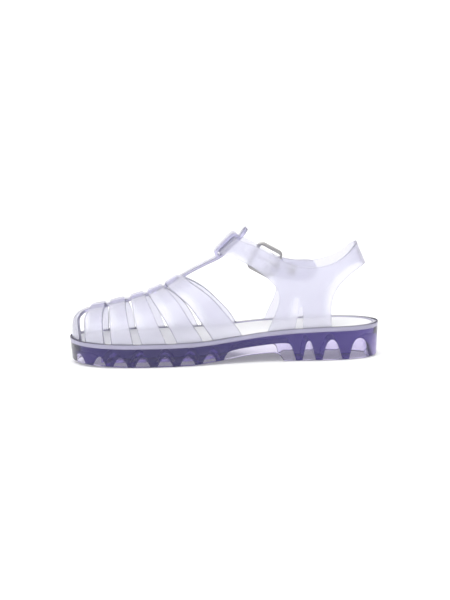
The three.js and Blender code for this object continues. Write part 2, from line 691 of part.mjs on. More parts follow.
// The long strap's band on the outer side, to its rounded tail end
const tailOutline = () => {
  const top = outerTop.filter((p) => p[0] < TAIL_STATION);
  const low = lowered(lowEdge, 1).filter((p, i) => i < 30 && p[0] < LOOP_STATION + 18);
  const rest = belowTop(top, STRAP_WIDTH).filter((p) => p[0] > low.at(-1)[0] + 2);
  const [a, b] = [top.at(-1), rest.at(-1)];
  const bow = [(a[1] - b[1]) / STRAP_WIDTH, (b[0] - a[0]) / STRAP_WIDTH];
  const end = [0.1, 0.3, 0.5, 0.7, 0.9].map((t) => {
    const out = Math.sqrt(t * (1 - t)) * STRAP_WIDTH * 0.8;
    return [mix(b[0], a[0], t) + bow[0] * out, mix(b[1], a[1], t) + bow[1] * out];
  });
  return halfPrism([...low, ...rest, ...end, ...top.toReversed()], 1);
};

const quarterSheet = (from, to, steps, offsetAt) => {
  const HEIGHT_STEPS = 9;
  const angles = Array.from({ length: steps + 1 }, (_, i) => mix(from, to, i / steps));
  const rows = (inset) =>
    Array.from({ length: HEIGHT_STEPS + 1 }, (_, j) =>
      angles.map((turn) => {
        const side = turn < 0 || turn > Math.PI ? 1 : -1;
        const c = Math.cos(turn);
        const foot = floorAt(ANKLE_STATION) - 6;
        const low = c > 0 ? mix(foot, 71, smooth(0.3, 0.55, c)) : mix(foot, 62, smooth(0.38, 0.7, -c));
        const high = 88 + 26 * Math.abs(c);
        const z = mix(low, high, (j / HEIGHT_STEPS) ** 1.25);
        const base = anklePoint(turn, side, z, 0);
        return anklePoint(turn, side, z, offsetAt(base) - inset);
      }),
    );
  return sheet(rows(0), rows(WALL));
};

// Axes on the outer side's surface at a point of its side view: along the strap to the heel, up
// across it, and outwards
const axesAt = (x, z, slope) => {
  const origin = onAnkle(x, z, 1, 0);
  const probe = (along, across) =>
    onAnkle(
      x + along * Math.cos(slope) - across * Math.sin(slope),
      z + along * Math.sin(slope) + across * Math.cos(slope),
      1,
      0,
    );
  const along = probe(4, 0).sub(probe(-4, 0)).normalize();
  const across = probe(0, 4).sub(probe(0, -4));
  across.addScaledVector(along, -across.dot(along)).normalize();
  return { origin, along, across, out: across.clone().cross(along).normalize() };
};

const outerTopAt = (x) => {
  const i = outerTop.findIndex((p) => p[0] > x);
  const [a, b] = [outerTop[i - 1], outerTop[i]];
  return mix(a[1], b[1], (x - a[0]) / (b[0] - a[0]));
};

// Those axes where a line across the strap meets its top edge at a station. The strap's direction
// is taken from a little ahead of it to a little behind.
const strapAxes = (station, ahead = 1.5, behind = 1.5) => {
  const slope = Math.atan2(outerTopAt(station + behind) - outerTopAt(station - ahead), ahead + behind);
  const down = STRAP_WIDTH / 2;
  return axesAt(station + down * Math.sin(slope), outerTopAt(station) - down * Math.cos(slope), slope);
};

// A bar of round section between two points
const rod = (from, to, radius, sides = 10) => {
  const axis = to.clone().sub(from);
  const geometry = new THREE.CylinderGeometry(radius, radius, axis.length(), sides);
  geometry.applyQuaternion(new THREE.Quaternion().setFromUnitVectors(new THREE.Vector3(0, 1, 0), axis.clone().normalize()));
  geometry.translate(...from.clone().add(to).multiplyScalar(0.5).toArray());
  return solid(geometry);
};

const BAR_RADIUS = 1.2;
const RAIL_RADIUS = 1.6;
const EYE_WALL = 1.3;
const EYE_OUT = -0.8;
const NOTCH_WIDTH = 4;
const FRAME_LENGTH = 20.5;
const FRAME_WIDTH = 21.8;
const FRAME_CORNER = 3.4;
const PRONG_RADIUS = 0.8;
const PRONG_RING = 2.9;
const HOLE_RADIUS = 1.6;
const HOLE_PITCH = 9.5;
const PRONG_HOLE = [-7.2, -3];
const RIVET = { station: 183, head: 3.6, cap: 0.9, shank: 1.6 };
// The frame lies along the long strap over its whole length, so its axes follow that stretch
const buckle = strapAxes(EYE_STATION, 0.9 * FRAME_LENGTH, 1);
const inBuckle = (along, across, out) =>
  buckle.origin
    .clone()
    .addScaledVector(buckle.along, along)
    .addScaledVector(buckle.across, across)
    .addScaledVector(buckle.out, out);

const rivetAxes = strapAxes(RIVET.station);
const atRivet = (out) => rivetAxes.origin.clone().addScaledVector(rivetAxes.out, out);

// Where the outer side's surface lies, outwards from the buckle's plane, at a distance along
const surfaceOut = (along) => {
  const p = inBuckle(along, 0, 0);
  return onAnkle(p.x, p.z, 1, 0).sub(buckle.origin).dot(buckle.out);
};
const stepOut = (p) => FOLD_RISE * smooth(-9.5, -1.5, p.clone().sub(buckle.origin).dot(buckle.along));
const FRONT_OUT = surfaceOut(-FRAME_LENGTH) + BAR_RADIUS + 0.7;

const boxIn = (along, across, out) => {
  const geometry = new THREE.BoxGeometry(along[1] - along[0], across[1] - across[0], out[1] - out[0]);
  geometry.translate((along[0] + along[1]) / 2, (across[0] + across[1]) / 2, (out[0] + out[1]) / 2);
  geometry.applyMatrix4(new THREE.Matrix4().makeBasis(buckle.along, buckle.across, buckle.out));
  geometry.translate(...buckle.origin.toArray());
  return solid(geometry);
};

// A hole across the strap at a station of the outer side
const strapHole = (station) => {
  const at = strapAxes(station);
  return rod(
    at.origin.clone().addScaledVector(at.out, -5),
    at.origin.clone().addScaledVector(at.out, 9),
    HOLE_RADIUS,
  );
};

// The hole that the prong comes out through, drawn out along it
const prongHole = () =>
  wasm.Manifold.hull(
    PRONG_HOLE.map((along) => rod(inBuckle(along, 0, -5), inBuckle(along, 0, 9), HOLE_RADIUS)),
  );

const quarterSolid = () => {
  const eyeTop = inBuckle(0, STRAP_WIDTH / 2, 0);
  const eyeFoot = inBuckle(0, -STRAP_WIDTH / 2, 0);
  const innerOutline = halfPrism([...lowEdge.slice(0, 11), ...legsAndHeel(Infinity), ...topEdge.toReversed()], -1);
  const outerOutline = halfPrism(
    [
      [eyeFoot.x, eyeFoot.z],
      ...legsAndHeel(54),
      ...outerTop.filter((p) => p[0] > eyeTop.x + 1).reverse(),
      [eyeTop.x, eyeTop.z],
    ],
    1,
  );
  const half = FRAME_WIDTH / 2 - FRAME_CORNER - 0.3;
  const eye = rod(inBuckle(0, -half, EYE_OUT), inBuckle(0, half, EYE_OUT), BAR_RADIUS + FIT_GAP + EYE_WALL, 16);
  const bore = rod(inBuckle(0, -half - 2, EYE_OUT), inBuckle(0, half + 2, EYE_OUT), BAR_RADIUS + FIT_GAP);
  const notch = boxIn([-6, 3.6], [-NOTCH_WIDTH / 2, NOTCH_WIDTH / 2], [-8, 6]);
  const shoulders = [1, -1].map((way) => boxIn([-6, 2], way < 0 ? [-14, -half] : [half, 14], [-8, 6]));
  const rivetHole = rod(atRivet(-6), atRivet(6), RIVET.shank + FIT_GAP);
  const ring = quarterSheet(0, 2 * Math.PI - 0.9, 60, () => 0)
    .intersect(innerOutline.add(outerOutline))
    .add(eye)
    .subtract(join([bore, notch, ...shoulders, rivetHole, legSlot(-1), legSlot(1)]));
  const holes = [
    prongHole(),
    ...[1, 2].map((i) => strapHole(EYE_STATION + i * HOLE_PITCH - 2)),
    strapHole(EYE_STATION - 2.6 * HOLE_PITCH),
  ];
  const tail = quarterSheet(-2.4, 0, 38, stepOut).intersect(tailOutline()).subtract(join(holes));
  return ring.add(tail);
};

// The buckle's frame: one bar bent to a rounded oblong, tilted so that its rear bar lies in the
// short strap's eye and its front bar over the long strap. It is round in the eye and wider elsewhere.
const frameSolid = () => {
  const [l, w, r] = [FRAME_LENGTH, FRAME_WIDTH / 2, FRAME_CORNER];
  const corners = [
    { along: -r, across: w - r, from: 0 },
    { along: -l + r, across: w - r, from: 0.25 },
    { along: -l + r, across: -w + r, from: 0.5 },
    { along: -r, across: -w + r, from: 0.75 },
  ];
  const path = corners.flatMap(({ along, across, from }) =>
    [0, 0.25, 0.5, 0.75, 1].map((t) => {
      const a = (from + t * 0.25) * 2 * Math.PI;
      const p = [along + r * Math.cos(a), across + r * Math.sin(a)];
      return { at: inBuckle(p[0], p[1], mix(EYE_OUT, FRONT_OUT, -p[0] / l)), wide: smooth(0, r, -p[0]) };
    }),
  );
  const sides = 10;
  const normal = new THREE.Vector3();
  const index = [];
  const position = [];
  path.forEach((p, i) => {
    const [a, b] = [path[(i + path.length - 1) % path.length], path[(i + 1) % path.length]];
    const t = b.at.clone().sub(a.at).normalize();
    const flat = mix(BAR_RADIUS, RAIL_RADIUS, p.wide);
    normal.copy(buckle.out).addScaledVector(t, -buckle.out.dot(t)).normalize();
    const side = t.clone().cross(normal);
    for (let j = 0; j < sides; j++) {
      const angle = (j / sides) * 2 * Math.PI;
      const q = p.at
        .clone()
        .addScaledVector(normal, BAR_RADIUS * Math.cos(angle))
        .addScaledVector(side, flat * Math.sin(angle));
      position.push(q.x, q.y, q.z);
      const [c, d] = [i * sides + j, i * sides + ((j + 1) % sides)];
      const next = (k) => (k + sides) % (path.length * sides);
      index.push(c, d, next(d), c, next(d), next(c));
    }
  });
  const geometry = new THREE.BufferGeometry();
  geometry.setAttribute("position", new THREE.Float32BufferAttribute(position, 3));
  geometry.setIndex(index);
  return solid(geometry);
};

// The prong: a ring round the rear bar, and a shaft through the long strap on to the front bar
const prongSolid = () => {
  const half = NOTCH_WIDTH / 2 - 0.6;
  const ring = rod(inBuckle(0, -half, EYE_OUT), inBuckle(0, half, EYE_OUT), PRONG_RING, 20).subtract(
    rod(inBuckle(0, -4, EYE_OUT), inBuckle(0, 4, EYE_OUT), BAR_RADIUS + 0.2, 16),
  );
  const root = inBuckle(-0.6, 0, EYE_OUT + PRONG_RING - PRONG_RADIUS);
  const tip = inBuckle(-FRAME_LENGTH - 0.6, 0, FRONT_OUT + BAR_RADIUS + PRONG_RADIUS + 0.25);
  return ring.add(rod(root, tip, PRONG_RADIUS));
};

// The rivet that holds the short strap's fold: two caps on a shank
const rivetSolid = () => {
  const { head, cap, shank } = RIVET;
  return join([
    rod(atRivet(0.35), atRivet(0.35 + cap), head, 20),
    rod(atRivet(-WALL - 0.35 - cap), atRivet(-WALL - 0.35), head, 20),
    rod(atRivet(-WALL - 0.6), atRivet(0.6), shank, 12),
  ]);
};

// Finishes
const clearLilac = new THREE.MeshStandardMaterial({
  color: 0xe6e2f6, roughness: 0.12, metalness: 0, transparent: true, opacity: 0.45,
});
const tintedLilac = new THREE.MeshStandardMaterial({
  color: 0x7268b0, roughness: 0.1, metalness: 0, transparent: true, opacity: 0.7,
});
const metal = new THREE.MeshStandardMaterial({ color: 0xb9b8b4, roughness: 0.3, metalness: 1 });
const white = new THREE.MeshStandardMaterial({ color: 0xf2f2f2, roughness: 0.6, metalness: 0 });

const meshOf = (made, name, material) => {
  const { vertProperties, triVerts, numProp } = made.simplify(0.05).getMesh();
  const geometry = new THREE.BufferGeometry();
  const position = new Float32Array((vertProperties.length / numProp) * 3);
  for (let i = 0; i < position.length / 3; i++)
    position.set(vertProperties.subarray(i * numProp, i * numProp + 3), i * 3);
  geometry.setAttribute("position", new THREE.BufferAttribute(position, 3));
  geometry.setIndex(new THREE.BufferAttribute(new Uint32Array(triVerts), 1));
  const mesh = new THREE.Mesh(toCreasedNormals(geometry, 0.6), material);
  mesh.name = name;
  return mesh;
};

const sandal = new THREE.Group();
sandal.add(
  meshOf(outsoleSolid(), "outsole", tintedLilac),
  meshOf(insoleSolid(), "insole", white),
  meshOf(vampSolid(), "upper_front_cage", clearLilac),
  meshOf(quarterSolid(), "upper_rear_strap", clearLilac),
  meshOf(frameSolid(), "buckle_frame", metal),
  meshOf(prongSolid(), "buckle_prong", metal),
  meshOf(rivetSolid(), "strap_rivet", metal),
);
const ends = outline(0).map((p) => p.y);
sandal.position.set(-LENGTH / 2, -(Math.max(...ends) + Math.min(...ends)) / 2, 0);

export default sandal;
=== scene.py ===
# %% [markdown]
# # A clear moulded sandal
#
# The sandal is soft clear plastic, moulded in a few large pieces: a caged front, a rear part whose
# long strap runs through a loop on the T-bar, and a tinted sole that is cored out from below. A
# white board lies in the sole, and a plated buckle holds the strap. Clear plastic hides nothing,
# so every wall here is a closed solid of its real thickness, and light does most of the rest: the
# sole's faint glow is painted light, and the straps' dark edges are painted shade.
#
# Lengths are millimetres until a mesh is made. A station is a distance from the toe tip along the
# sole, y is negative on the inner side of the foot, and z is the height above the ground.

import math

import bmesh
import bpy
import numpy as np
from mathutils import Matrix


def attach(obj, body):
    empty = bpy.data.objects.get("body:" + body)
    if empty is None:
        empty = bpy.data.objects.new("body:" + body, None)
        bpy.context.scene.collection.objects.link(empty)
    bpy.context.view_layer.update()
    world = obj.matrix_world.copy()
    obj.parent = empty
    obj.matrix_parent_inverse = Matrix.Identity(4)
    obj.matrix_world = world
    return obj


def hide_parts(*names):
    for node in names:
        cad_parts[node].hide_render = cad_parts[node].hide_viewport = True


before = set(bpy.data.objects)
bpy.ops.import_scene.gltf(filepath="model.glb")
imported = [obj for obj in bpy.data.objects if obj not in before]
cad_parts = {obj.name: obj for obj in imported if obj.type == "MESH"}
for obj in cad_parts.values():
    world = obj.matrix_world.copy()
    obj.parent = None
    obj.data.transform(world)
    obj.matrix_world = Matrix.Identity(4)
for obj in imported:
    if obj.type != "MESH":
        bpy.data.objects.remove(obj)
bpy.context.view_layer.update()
print("solids in the frame:", ", ".join(sorted(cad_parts)))

# %% [markdown]
# ## Small tools for curves
#
# Every line of the sandal is a smooth curve through a short table. An eased step joins two levels,
# a monotone cubic never swings past its points, and a natural spline bends as evenly as a batten.
# Each of them takes a whole array at once.


# %% Curves
def smooth(start, stop, value):
    """An eased step: 3t² - 2t³, where t is how far value lies from start to stop."""
    t = np.clip((value - start) / (stop - start), 0, 1)
    return t * t * (3 - 2 * t)


def mix(a, b, share):
    """The point a share of the way from a to b: a + (b - a) · share."""
    return a + (b - a) * share


def unit(vector):
    """A vector, or every row of an array of them, divided by its length."""
    return vector / np.linalg.norm(vector, axis=-1, keepdims=True)


def circle(count):
    """Cosine and sine at even angles round a circle, one row for each angle."""
    angle = np.arange(count) / count * 2 * np.pi
    return np.stack([np.cos(angle), np.sin(angle)], 1)


def distances(points):
    """How far each point lies along a row of points: the running sum of the steps' lengths."""
    return np.concatenate([[0], np.cumsum(np.linalg.norm(np.diff(points, axis=0), axis=1))])


def evenly(path, count):
    """Points at even distances along a path in the plane, each between two of its own."""
    along = distances(path)
    at = np.linspace(0, along[-1], count)
    return np.stack([np.interp(at, along, path[:, k]) for k in range(2)], 1)


def halved(low, high, is_low, steps=46):
    """The place between low and high up to which is_low holds: the interval is halved again and again."""
    for _ in range(steps):
        middle = (low + high) / 2
        below = is_low(middle)
        low, high = np.where(below, middle, low), np.where(below, high, middle)
    return low


def curve_through(rows):
    """A monotone cubic y(x): each slope is the harmonic mean of the slopes on its two sides."""
    x, y = np.array(rows, float).T
    step = np.diff(y) / np.diff(x)
    before, after = step[:-1], step[1:]
    total = np.where(before * after > 0, before + after, 1)
    inner = np.where(before * after > 0, 2 * before * after / total, 0)
    slope = np.concatenate([step[:1], inner, step[-1:]])

    def value(at):
        at = np.asarray(at, float)
        i = np.clip(np.searchsorted(x, at, side="right") - 1, 0, len(x) - 2)
        h = x[i + 1] - x[i]
        t = np.clip((at - x[i]) / h, 0, 1)
        rise = (1 + 2 * t) * (1 - t) ** 2 * y[i] + t * t * (3 - 2 * t) * y[i + 1]
        bend = t * (1 - t) ** 2 * slope[i] + t * t * (t - 1) * slope[i + 1]
        beyond = slope[0] * np.minimum(at - x[0], 0) + slope[-1] * np.maximum(at - x[-1], 0)
        return rise + h * bend + beyond

    return value


def spline_through(rows):
    """A natural cubic spline y(x): its second derivatives solve a band of equations, 0 at both ends."""
    x, y = np.array(rows, float).T
    h = np.diff(x)
    n = len(x)
    band = np.eye(n)
    right = np.zeros(n)
    i = np.arange(1, n - 1)
    band[i, i - 1], band[i, i], band[i, i + 1] = h[i - 1], 2 * (h[i - 1] + h[i]), h[i]
    right[i] = 6 * ((y[i + 1] - y[i]) / h[i] - (y[i] - y[i - 1]) / h[i - 1])
    curve = np.linalg.solve(band, right)

    def value(at):
        at = np.clip(at, x[0], x[-1])
        k = np.clip(np.searchsorted(x, at, side="right") - 1, 0, n - 2)
        a, b = (x[k + 1] - at) / h[k], (at - x[k]) / h[k]
        bend = (a**3 - a) * curve[k] + (b**3 - b) * curve[k + 1]
        return a * y[k] + b * y[k + 1] + bend * h[k] ** 2 / 6

    return value


def path_through(points, count):
    """A smooth path in the plane: a spline for each coordinate over the distance along the points."""
    p = np.array(points, float)
    along = distances(p)
    at = np.linspace(0, along[-1], count)
    return np.stack([spline_through(np.stack([along, p[:, k]], 1))(at) for k in range(2)], 1)


def closed_curve(points, steps=60):
    """A closed smooth curve: a cubic between each two points, timed by the root of their distance."""
    p1 = np.array(points, float)
    p0, p2, p3 = np.roll(p1, 1, 0), np.roll(p1, -1, 0), np.roll(p1, -2, 0)
    gaps = (p1 - p0, p2 - p1, p3 - p2)
    d0, d1, d2 = (np.sqrt(np.linalg.norm(gap, axis=1))[:, None] for gap in gaps)
    m1 = ((p1 - p0) / d0 - (p2 - p0) / (d0 + d1) + (p2 - p1) / d1) * d1
    m2 = ((p2 - p1) / d1 - (p3 - p1) / (d1 + d2) + (p3 - p2) / d2) * d1
    t = (np.arange(steps) / steps)[None, :, None]
    ends = (2 * t**3 - 3 * t**2 + 1) * p1[:, None] + (3 * t**2 - 2 * t**3) * p2[:, None]
    return (ends + (t**3 - 2 * t**2 + t) * m1[:, None] + (t**3 - t**2) * m2[:, None]).reshape(-1, 2)


# %% [markdown]
# ## The sole's outline and levels
#
# A shoemaker starts from the outline of the sole: wide at the ball, narrow at the waist. The table
# gives half widths as shares of the ball, waist and heel width. The top rises from the forefoot to
# the heel, and the underside lifts only at the toe and at the arch.

# %% Sizes of the sole
LENGTH = 250
BALL_WIDTH, WAIST_WIDTH, HEEL_WIDTH = 92.5, 68, 62
FOREFOOT_THICKNESS, HEEL_THICKNESS = 18.6, 26.9
TOE_SPRING, TOE_RISE, SIDE_DRAFT, EDGE_ROUND = 2.6, 1.8, 1.6, 1.5
RIM_HEIGHT, RIM_WIDTH, RIM_LIP = 3.4, 4.8, 1.6
PLATE_THICKNESS, SIDE_WALL, KEEL_WIDTH = 7, 3.2, 22
KEEL = 0.1 * LENGTH, 0.478 * LENGTH
ARCH_HEIGHT, ARCH_START, BREAST_STATION, BREAST_RUN = 6.8, 98, 166.5, 5
INSOLE_THICKNESS, FIT_GAP = 2.8, 0.3
VAMP_FOOT_END = 0.565 * LENGTH
REAR_FOOT = (0.63 * LENGTH, 0.845 * LENGTH)

OUTLINE = [  # along, width, inner half, outer half
    (0.018, BALL_WIDTH, 0.47, 0.36),
    (0.06, BALL_WIDTH, 0.74, 0.63),
    (0.14, BALL_WIDTH, 0.92, 0.87),
    (0.24, BALL_WIDTH, 0.99, 0.98),
    (0.33, BALL_WIDTH, 0.97, 1.02),
    (0.42, BALL_WIDTH, 0.88, 1.0),
    (0.52, WAIST_WIDTH, 1.02, 1.25),
    (0.62, WAIST_WIDTH, 0.91, 1.11),
    (0.72, HEEL_WIDTH, 0.95, 1.12),
    (0.82, HEEL_WIDTH, 0.97, 1.05),
    (0.9, HEEL_WIDTH, 0.9, 0.95),
    (0.96, HEEL_WIDTH, 0.66, 0.7),
    (0.99, HEEL_WIDTH, 0.33, 0.36),
]
inner_side = [(along * LENGTH, -inner * width / 2) for along, width, inner, _ in OUTLINE]
outer_side = [(along * LENGTH, outer * width / 2) for along, width, _, outer in reversed(OUTLINE)]
edge_loop = closed_curve([(0, -0.04 * BALL_WIDTH), *inner_side, (LENGTH, 0), *outer_side])
edge_loop = np.vstack([edge_loop, edge_loop[:1]])
edge_along = distances(edge_loop)
print(f"the outline is {edge_along[-1]:.0f} mm round")

# %% The outline, moved inwards
FINE = 2400


def outline(inset, count=480):
    """Points at even distances round the outline, each moved inwards along its normal by inset."""
    at = np.arange(count) / count * edge_along[-1]
    point, ahead, behind = (
        np.stack([np.interp(place % edge_along[-1], edge_along, edge_loop[:, k]) for k in range(2)], 1)
        for place in (at, at + 0.5, at - 0.5)
    )
    way = unit(ahead - behind)
    return point + np.stack([-way[:, 1], way[:, 0]], 1) * np.reshape(inset, (-1, 1))


def outline_side(inset, side):
    """The inset outline's y as a function of the station, on the inner (-1) or outer (1) side."""
    ring = outline(inset, FINE)
    tip, back = ring[:, 0].argmin(), ring[:, 0].argmax()
    ring = np.roll(ring, -tip, 0)
    back = (back - tip) % FINE
    half = ring[: back + 1] if side < 0 else np.vstack([ring[:1], ring[back:][::-1]])
    order = np.argsort(half[:, 0], kind="stable")
    return lambda x: np.interp(x, half[order, 0], half[order, 1])


# %% The sole's levels
TOP_RISE = [(0.39, 0), (0.456, 0.125), (0.49, 0.22), (0.56, 0.455), (0.63, 0.69), (0.72, 0.87), (0.82, 1)]
top_rise = curve_through([(along * LENGTH, share) for along, share in TOP_RISE])
arch_line = curve_through(
    [
        (ARCH_START, 0),
        (mix(ARCH_START, BREAST_STATION, 0.35), 0.4 * ARCH_HEIGHT),
        (mix(ARCH_START, BREAST_STATION, 0.75), 0.91 * ARCH_HEIGHT),
        (BREAST_STATION - 0.6 * BREAST_RUN, ARCH_HEIGHT),
        (BREAST_STATION + 0.35 * BREAST_RUN, 0.7 * ARCH_HEIGHT),
        (BREAST_STATION + BREAST_RUN, 0),
    ]
)


def toe_lift(x, share):
    """1 at the toe tip, falling as a square to 0 at a share of the length."""
    return np.maximum(0, 1 - x / (share * LENGTH)) ** 2


def top_at(x):
    """The rim's top: the forefoot's thickness, a smooth rise to the heel's, and a lift at the toe."""
    share = np.clip(top_rise(np.minimum(x, TOP_RISE[-1][0] * LENGTH)), 0, 1)
    return mix(FOREFOOT_THICKNESS, HEEL_THICKNESS, share) + TOE_RISE * toe_lift(x, 0.18)


def floor_at(x):
    """The recess's floor, one rim height below the rim."""
    return top_at(x) - RIM_HEIGHT


def foot_at(x):
    """Where an upper's foot or the board stands: a fit gap over the recess's floor."""
    return floor_at(x) + FIT_GAP


def plate_at(x):
    """The underside of the plate, which spans the cores."""
    return floor_at(x) - PLATE_THICKNESS


def under_at(x):
    """The underside: a lift at the toe, and the arch that lifts the waist up to the heel's breast."""
    arched = (x > ARCH_START) & (x < BREAST_STATION + BREAST_RUN)
    return TOE_SPRING * toe_lift(x, 0.22) + np.where(arched, np.maximum(arch_line(x), 0), 0)


sides = outline(0, 80)[:, 1]
SIDE_SHIFT = -(sides.max() + sides.min()) / 2
print(f"ball {BALL_WIDTH} mm, heel top {top_at(LENGTH):.1f} mm high, moved sideways by {SIDE_SHIFT:.2f} mm")

# %% [markdown]
# ## From arrays to meshes
#
# A mesh is two arrays: corners, and faces that name them. A loft stacks closed rings, and a
# sheet of quads becomes a wall when every corner gets a partner one thickness inside. Corners that
# lie in the same place are merged first, so that neighbouring sheets become one.


# %% Mesh helpers
def add_object(name, data):
    """An object that holds the data, linked to the scene."""
    made = bpy.data.objects.new(name, data)
    bpy.context.scene.collection.objects.link(made)
    return made


def new_piece(name, points, faces):
    """An object at the origin with these faces and corners, taken from millimetres to the frame's metres."""
    place = (np.asarray(points, float).reshape(-1, 3) + [-LENGTH / 2, SIDE_SHIFT, 0]) / 1000
    mesh = bpy.data.meshes.new(name)
    mesh.from_pydata(place.tolist(), [], [tuple(int(i) for i in f) for f in faces])
    mesh.validate()
    return add_object(name, mesh)


def read(items, what, kind=np.int32, width=1):
    """One property of all of a mesh's items, as an array."""
    values = np.empty(len(items) * width, kind)
    items.foreach_get(what, values)
    return values.reshape(-1, width) if width > 1 else values


def ring_quads(rows, count, closed_rows=False):
    """Faces of a grid of rows, each a closed ring of count corners."""
    i = np.arange(rows if closed_rows else rows - 1)[:, None]
    j = np.arange(count)[None, :]
    below, above = i * count, (i + 1) % rows * count
    quads = np.stack([below + j, below + (j + 1) % count, above + (j + 1) % count, above + j], -1)
    return quads.reshape(-1, 4)


def cap(start, count):
    """A ring closed by rungs: corner j is joined to corner count - j across the ring."""
    j = np.arange(count // 2)
    rungs = np.stack([j, j + 1, count - j - 1, -j % count], 1) + start
    faces = [list(dict.fromkeys(rung)) for rung in rungs.tolist()]
    return [face for face in faces if len(face) > 2]


def loft(name, rings, closed=False):
    """Rings of equal count, joined by quads, with a cap on each end unless the rows close."""
    count = len(rings[0])
    faces = ring_quads(len(rings), count, closed).tolist()
    if not closed:
        faces += [face[::-1] for face in cap(0, count)] + cap((len(rings) - 1) * count, count)
    piece = new_piece(name, np.vstack(rings), faces)
    turn_out(piece)
    return piece


def side_prism(name, points, y_from, y_to):
    """A side view outline of stations and heights, carried straight across from one y to another."""
    p = np.array(points, float)
    n = len(p)
    ends = [np.column_stack([p[:, 0], np.full(n, y), p[:, 1]]) for y in (y_from, y_to)]
    faces = ring_quads(2, n).tolist() + [list(range(n)), list(range(2 * n - 1, n - 1, -1))]
    piece = new_piece(name, np.vstack(ends), faces)
    turn_out(piece)
    return piece


def turn_out(piece):
    """Faces point outwards: the normals are made consistent, and flipped where the volume is negative."""
    work = bmesh.new()
    work.from_mesh(piece.data)
    bmesh.ops.remove_doubles(work, verts=work.verts, dist=1e-7)
    bmesh.ops.recalc_face_normals(work, faces=work.faces)
    if work.calc_volume(signed=True) < 0:
        bmesh.ops.reverse_faces(work, faces=work.faces)
    work.to_mesh(piece.data)
    work.free()


def apply_modifiers(piece):
    """The mesh as its modifiers leave it becomes the piece's own mesh."""
    graph = bpy.context.evaluated_depsgraph_get()
    mesh = bpy.data.meshes.new_from_object(piece.evaluated_get(graph))
    piece.modifiers.clear()
    piece.data = mesh


def add_bevel(piece, limit, width, segments):
    """A bevel, its width in millimetres, on the edges that the limit picks."""
    bevel = piece.modifiers.new("round", "BEVEL")
    bevel.limit_method = limit
    bevel.width = width / 1000
    bevel.segments = segments
    return bevel


def combine(piece, other, operation):
    """Joins (UNION), cuts (DIFFERENCE) or keeps the shared part (INTERSECT) of two closed pieces."""
    change = piece.modifiers.new(operation, "BOOLEAN")
    change.operation = operation
    change.object = other
    change.solver = "MANIFOLD"
    apply_modifiers(piece)
    bpy.data.objects.remove(other)
    if not piece.data.polygons:
        raise ValueError(f"{piece.name} vanished in {operation}")


def finished(piece, degrees):
    """Smooth shading with a crease wherever faces meet at more than an angle; prints the piece's size."""
    mesh = piece.data
    mesh.shade_smooth()
    mesh.set_sharp_from_angle(angle=math.radians(degrees))
    x, y, z = np.ptp(read(mesh.vertices, "co", float, 3), axis=0) * 1000
    triangles = (read(mesh.polygons, "loop_total") - 2).sum()
    work = bmesh.new()
    work.from_mesh(mesh)
    loose = sum(not edge.is_manifold for edge in work.edges)
    work.free()
    print(f"{piece.name}: {triangles} triangles, {x:.1f} x {y:.1f} x {z:.1f} mm, {loose} open edges")


# %% [markdown]
# ## Walls from sheets
#
# The uppers are walls of one thickness with soft edges. Each is laid out as a sheet of quads on its
# outer face. The wall's inner face is the same sheet moved inwards, a band of quads closes the rim,
# and only the rim's edges are marked for a small bevel, so the plastic's edge is round all the way.

# %% A wall from a sheet
WELDS_PER_MM = 500  # corners closer than a five-hundredth of a millimetre or so are one


def block(grid, keep=...):
    """A grid of points as a list of corners, with the faces of those of its cells that are kept."""
    rows, columns = grid.shape[:2]
    i, j = np.meshgrid(np.arange(rows - 1), np.arange(columns - 1), indexing="ij")
    a = i * columns + j
    cells = np.stack([a, a + 1, a + columns + 1, a + columns], -1)
    return grid.reshape(-1, 3), cells[keep].reshape(-1, 4)


def weld(points, quads):
    """Merges corners that share a place on a fine lattice, and drops the faces that collapse."""
    keys = np.round(points * WELDS_PER_MM).astype(np.int64)
    _, first, where = np.unique(keys, axis=0, return_index=True, return_inverse=True)
    faces = where.reshape(-1)[quads]
    a, b, c, d = faces.T
    whole = (a != b) & (b != c) & (c != d) & (d != a) & (a != c) & (b != d)
    used, faces = np.unique(faces[whole], return_inverse=True)
    return points[first][used], faces.reshape(-1, 4)


def join_blocks(blocks, centre_of):
    """Turns every block to face away from a centre, numbers them on and welds them into one sheet."""
    all_points, all_quads, start = [], [], 0
    for p, q in blocks:
        middle = p[q].mean(axis=1)
        face = np.cross(p[q[:, 2]] - p[q[:, 0]], p[q[:, 3]] - p[q[:, 1]])
        if (face * (middle - centre_of(middle))).sum() < 0:
            q = q[:, ::-1]
        all_points.append(p)
        all_quads.append(q + start)
        start += len(p)
    return weld(np.vstack(all_points), np.vstack(all_quads))


def corner_normals(points, quads):
    """Each corner's normal: the sum of its faces' normals, each the cross product of its diagonals."""
    a, b, c, d = (points[quads[:, k]] for k in range(4))
    face = np.cross(c - a, d - b)
    normal = np.zeros_like(points)
    for k in range(4):
        np.add.at(normal, quads[:, k], face)
    return normal / np.maximum(np.linalg.norm(normal, axis=1), 1e-12)[:, None]


def mark_rounds(mesh):
    """A corner's edge attribute is 1 where the bevel's faces (in the second slot) are all that it has."""
    in_flat = read(mesh.polygons, "material_index") == 0
    flat_faces = np.zeros(len(mesh.vertices))
    at_corner = np.repeat(in_flat, read(mesh.polygons, "loop_total")).astype(float)
    np.add.at(flat_faces, read(mesh.loops, "vertex_index"), at_corner)
    # This edge attribute is the mask on which the straps' material paints its dark edge shade.
    mark = mesh.attributes.new("edge", "FLOAT", "POINT")
    mark.data.foreach_set("value", (flat_faces == 0).astype(np.float32))
    mesh.polygons.foreach_set("material_index", np.zeros(len(in_flat), np.int32))
    print(f"rounded edges: {int((flat_faces == 0).sum())} of {len(mesh.vertices)} corners")


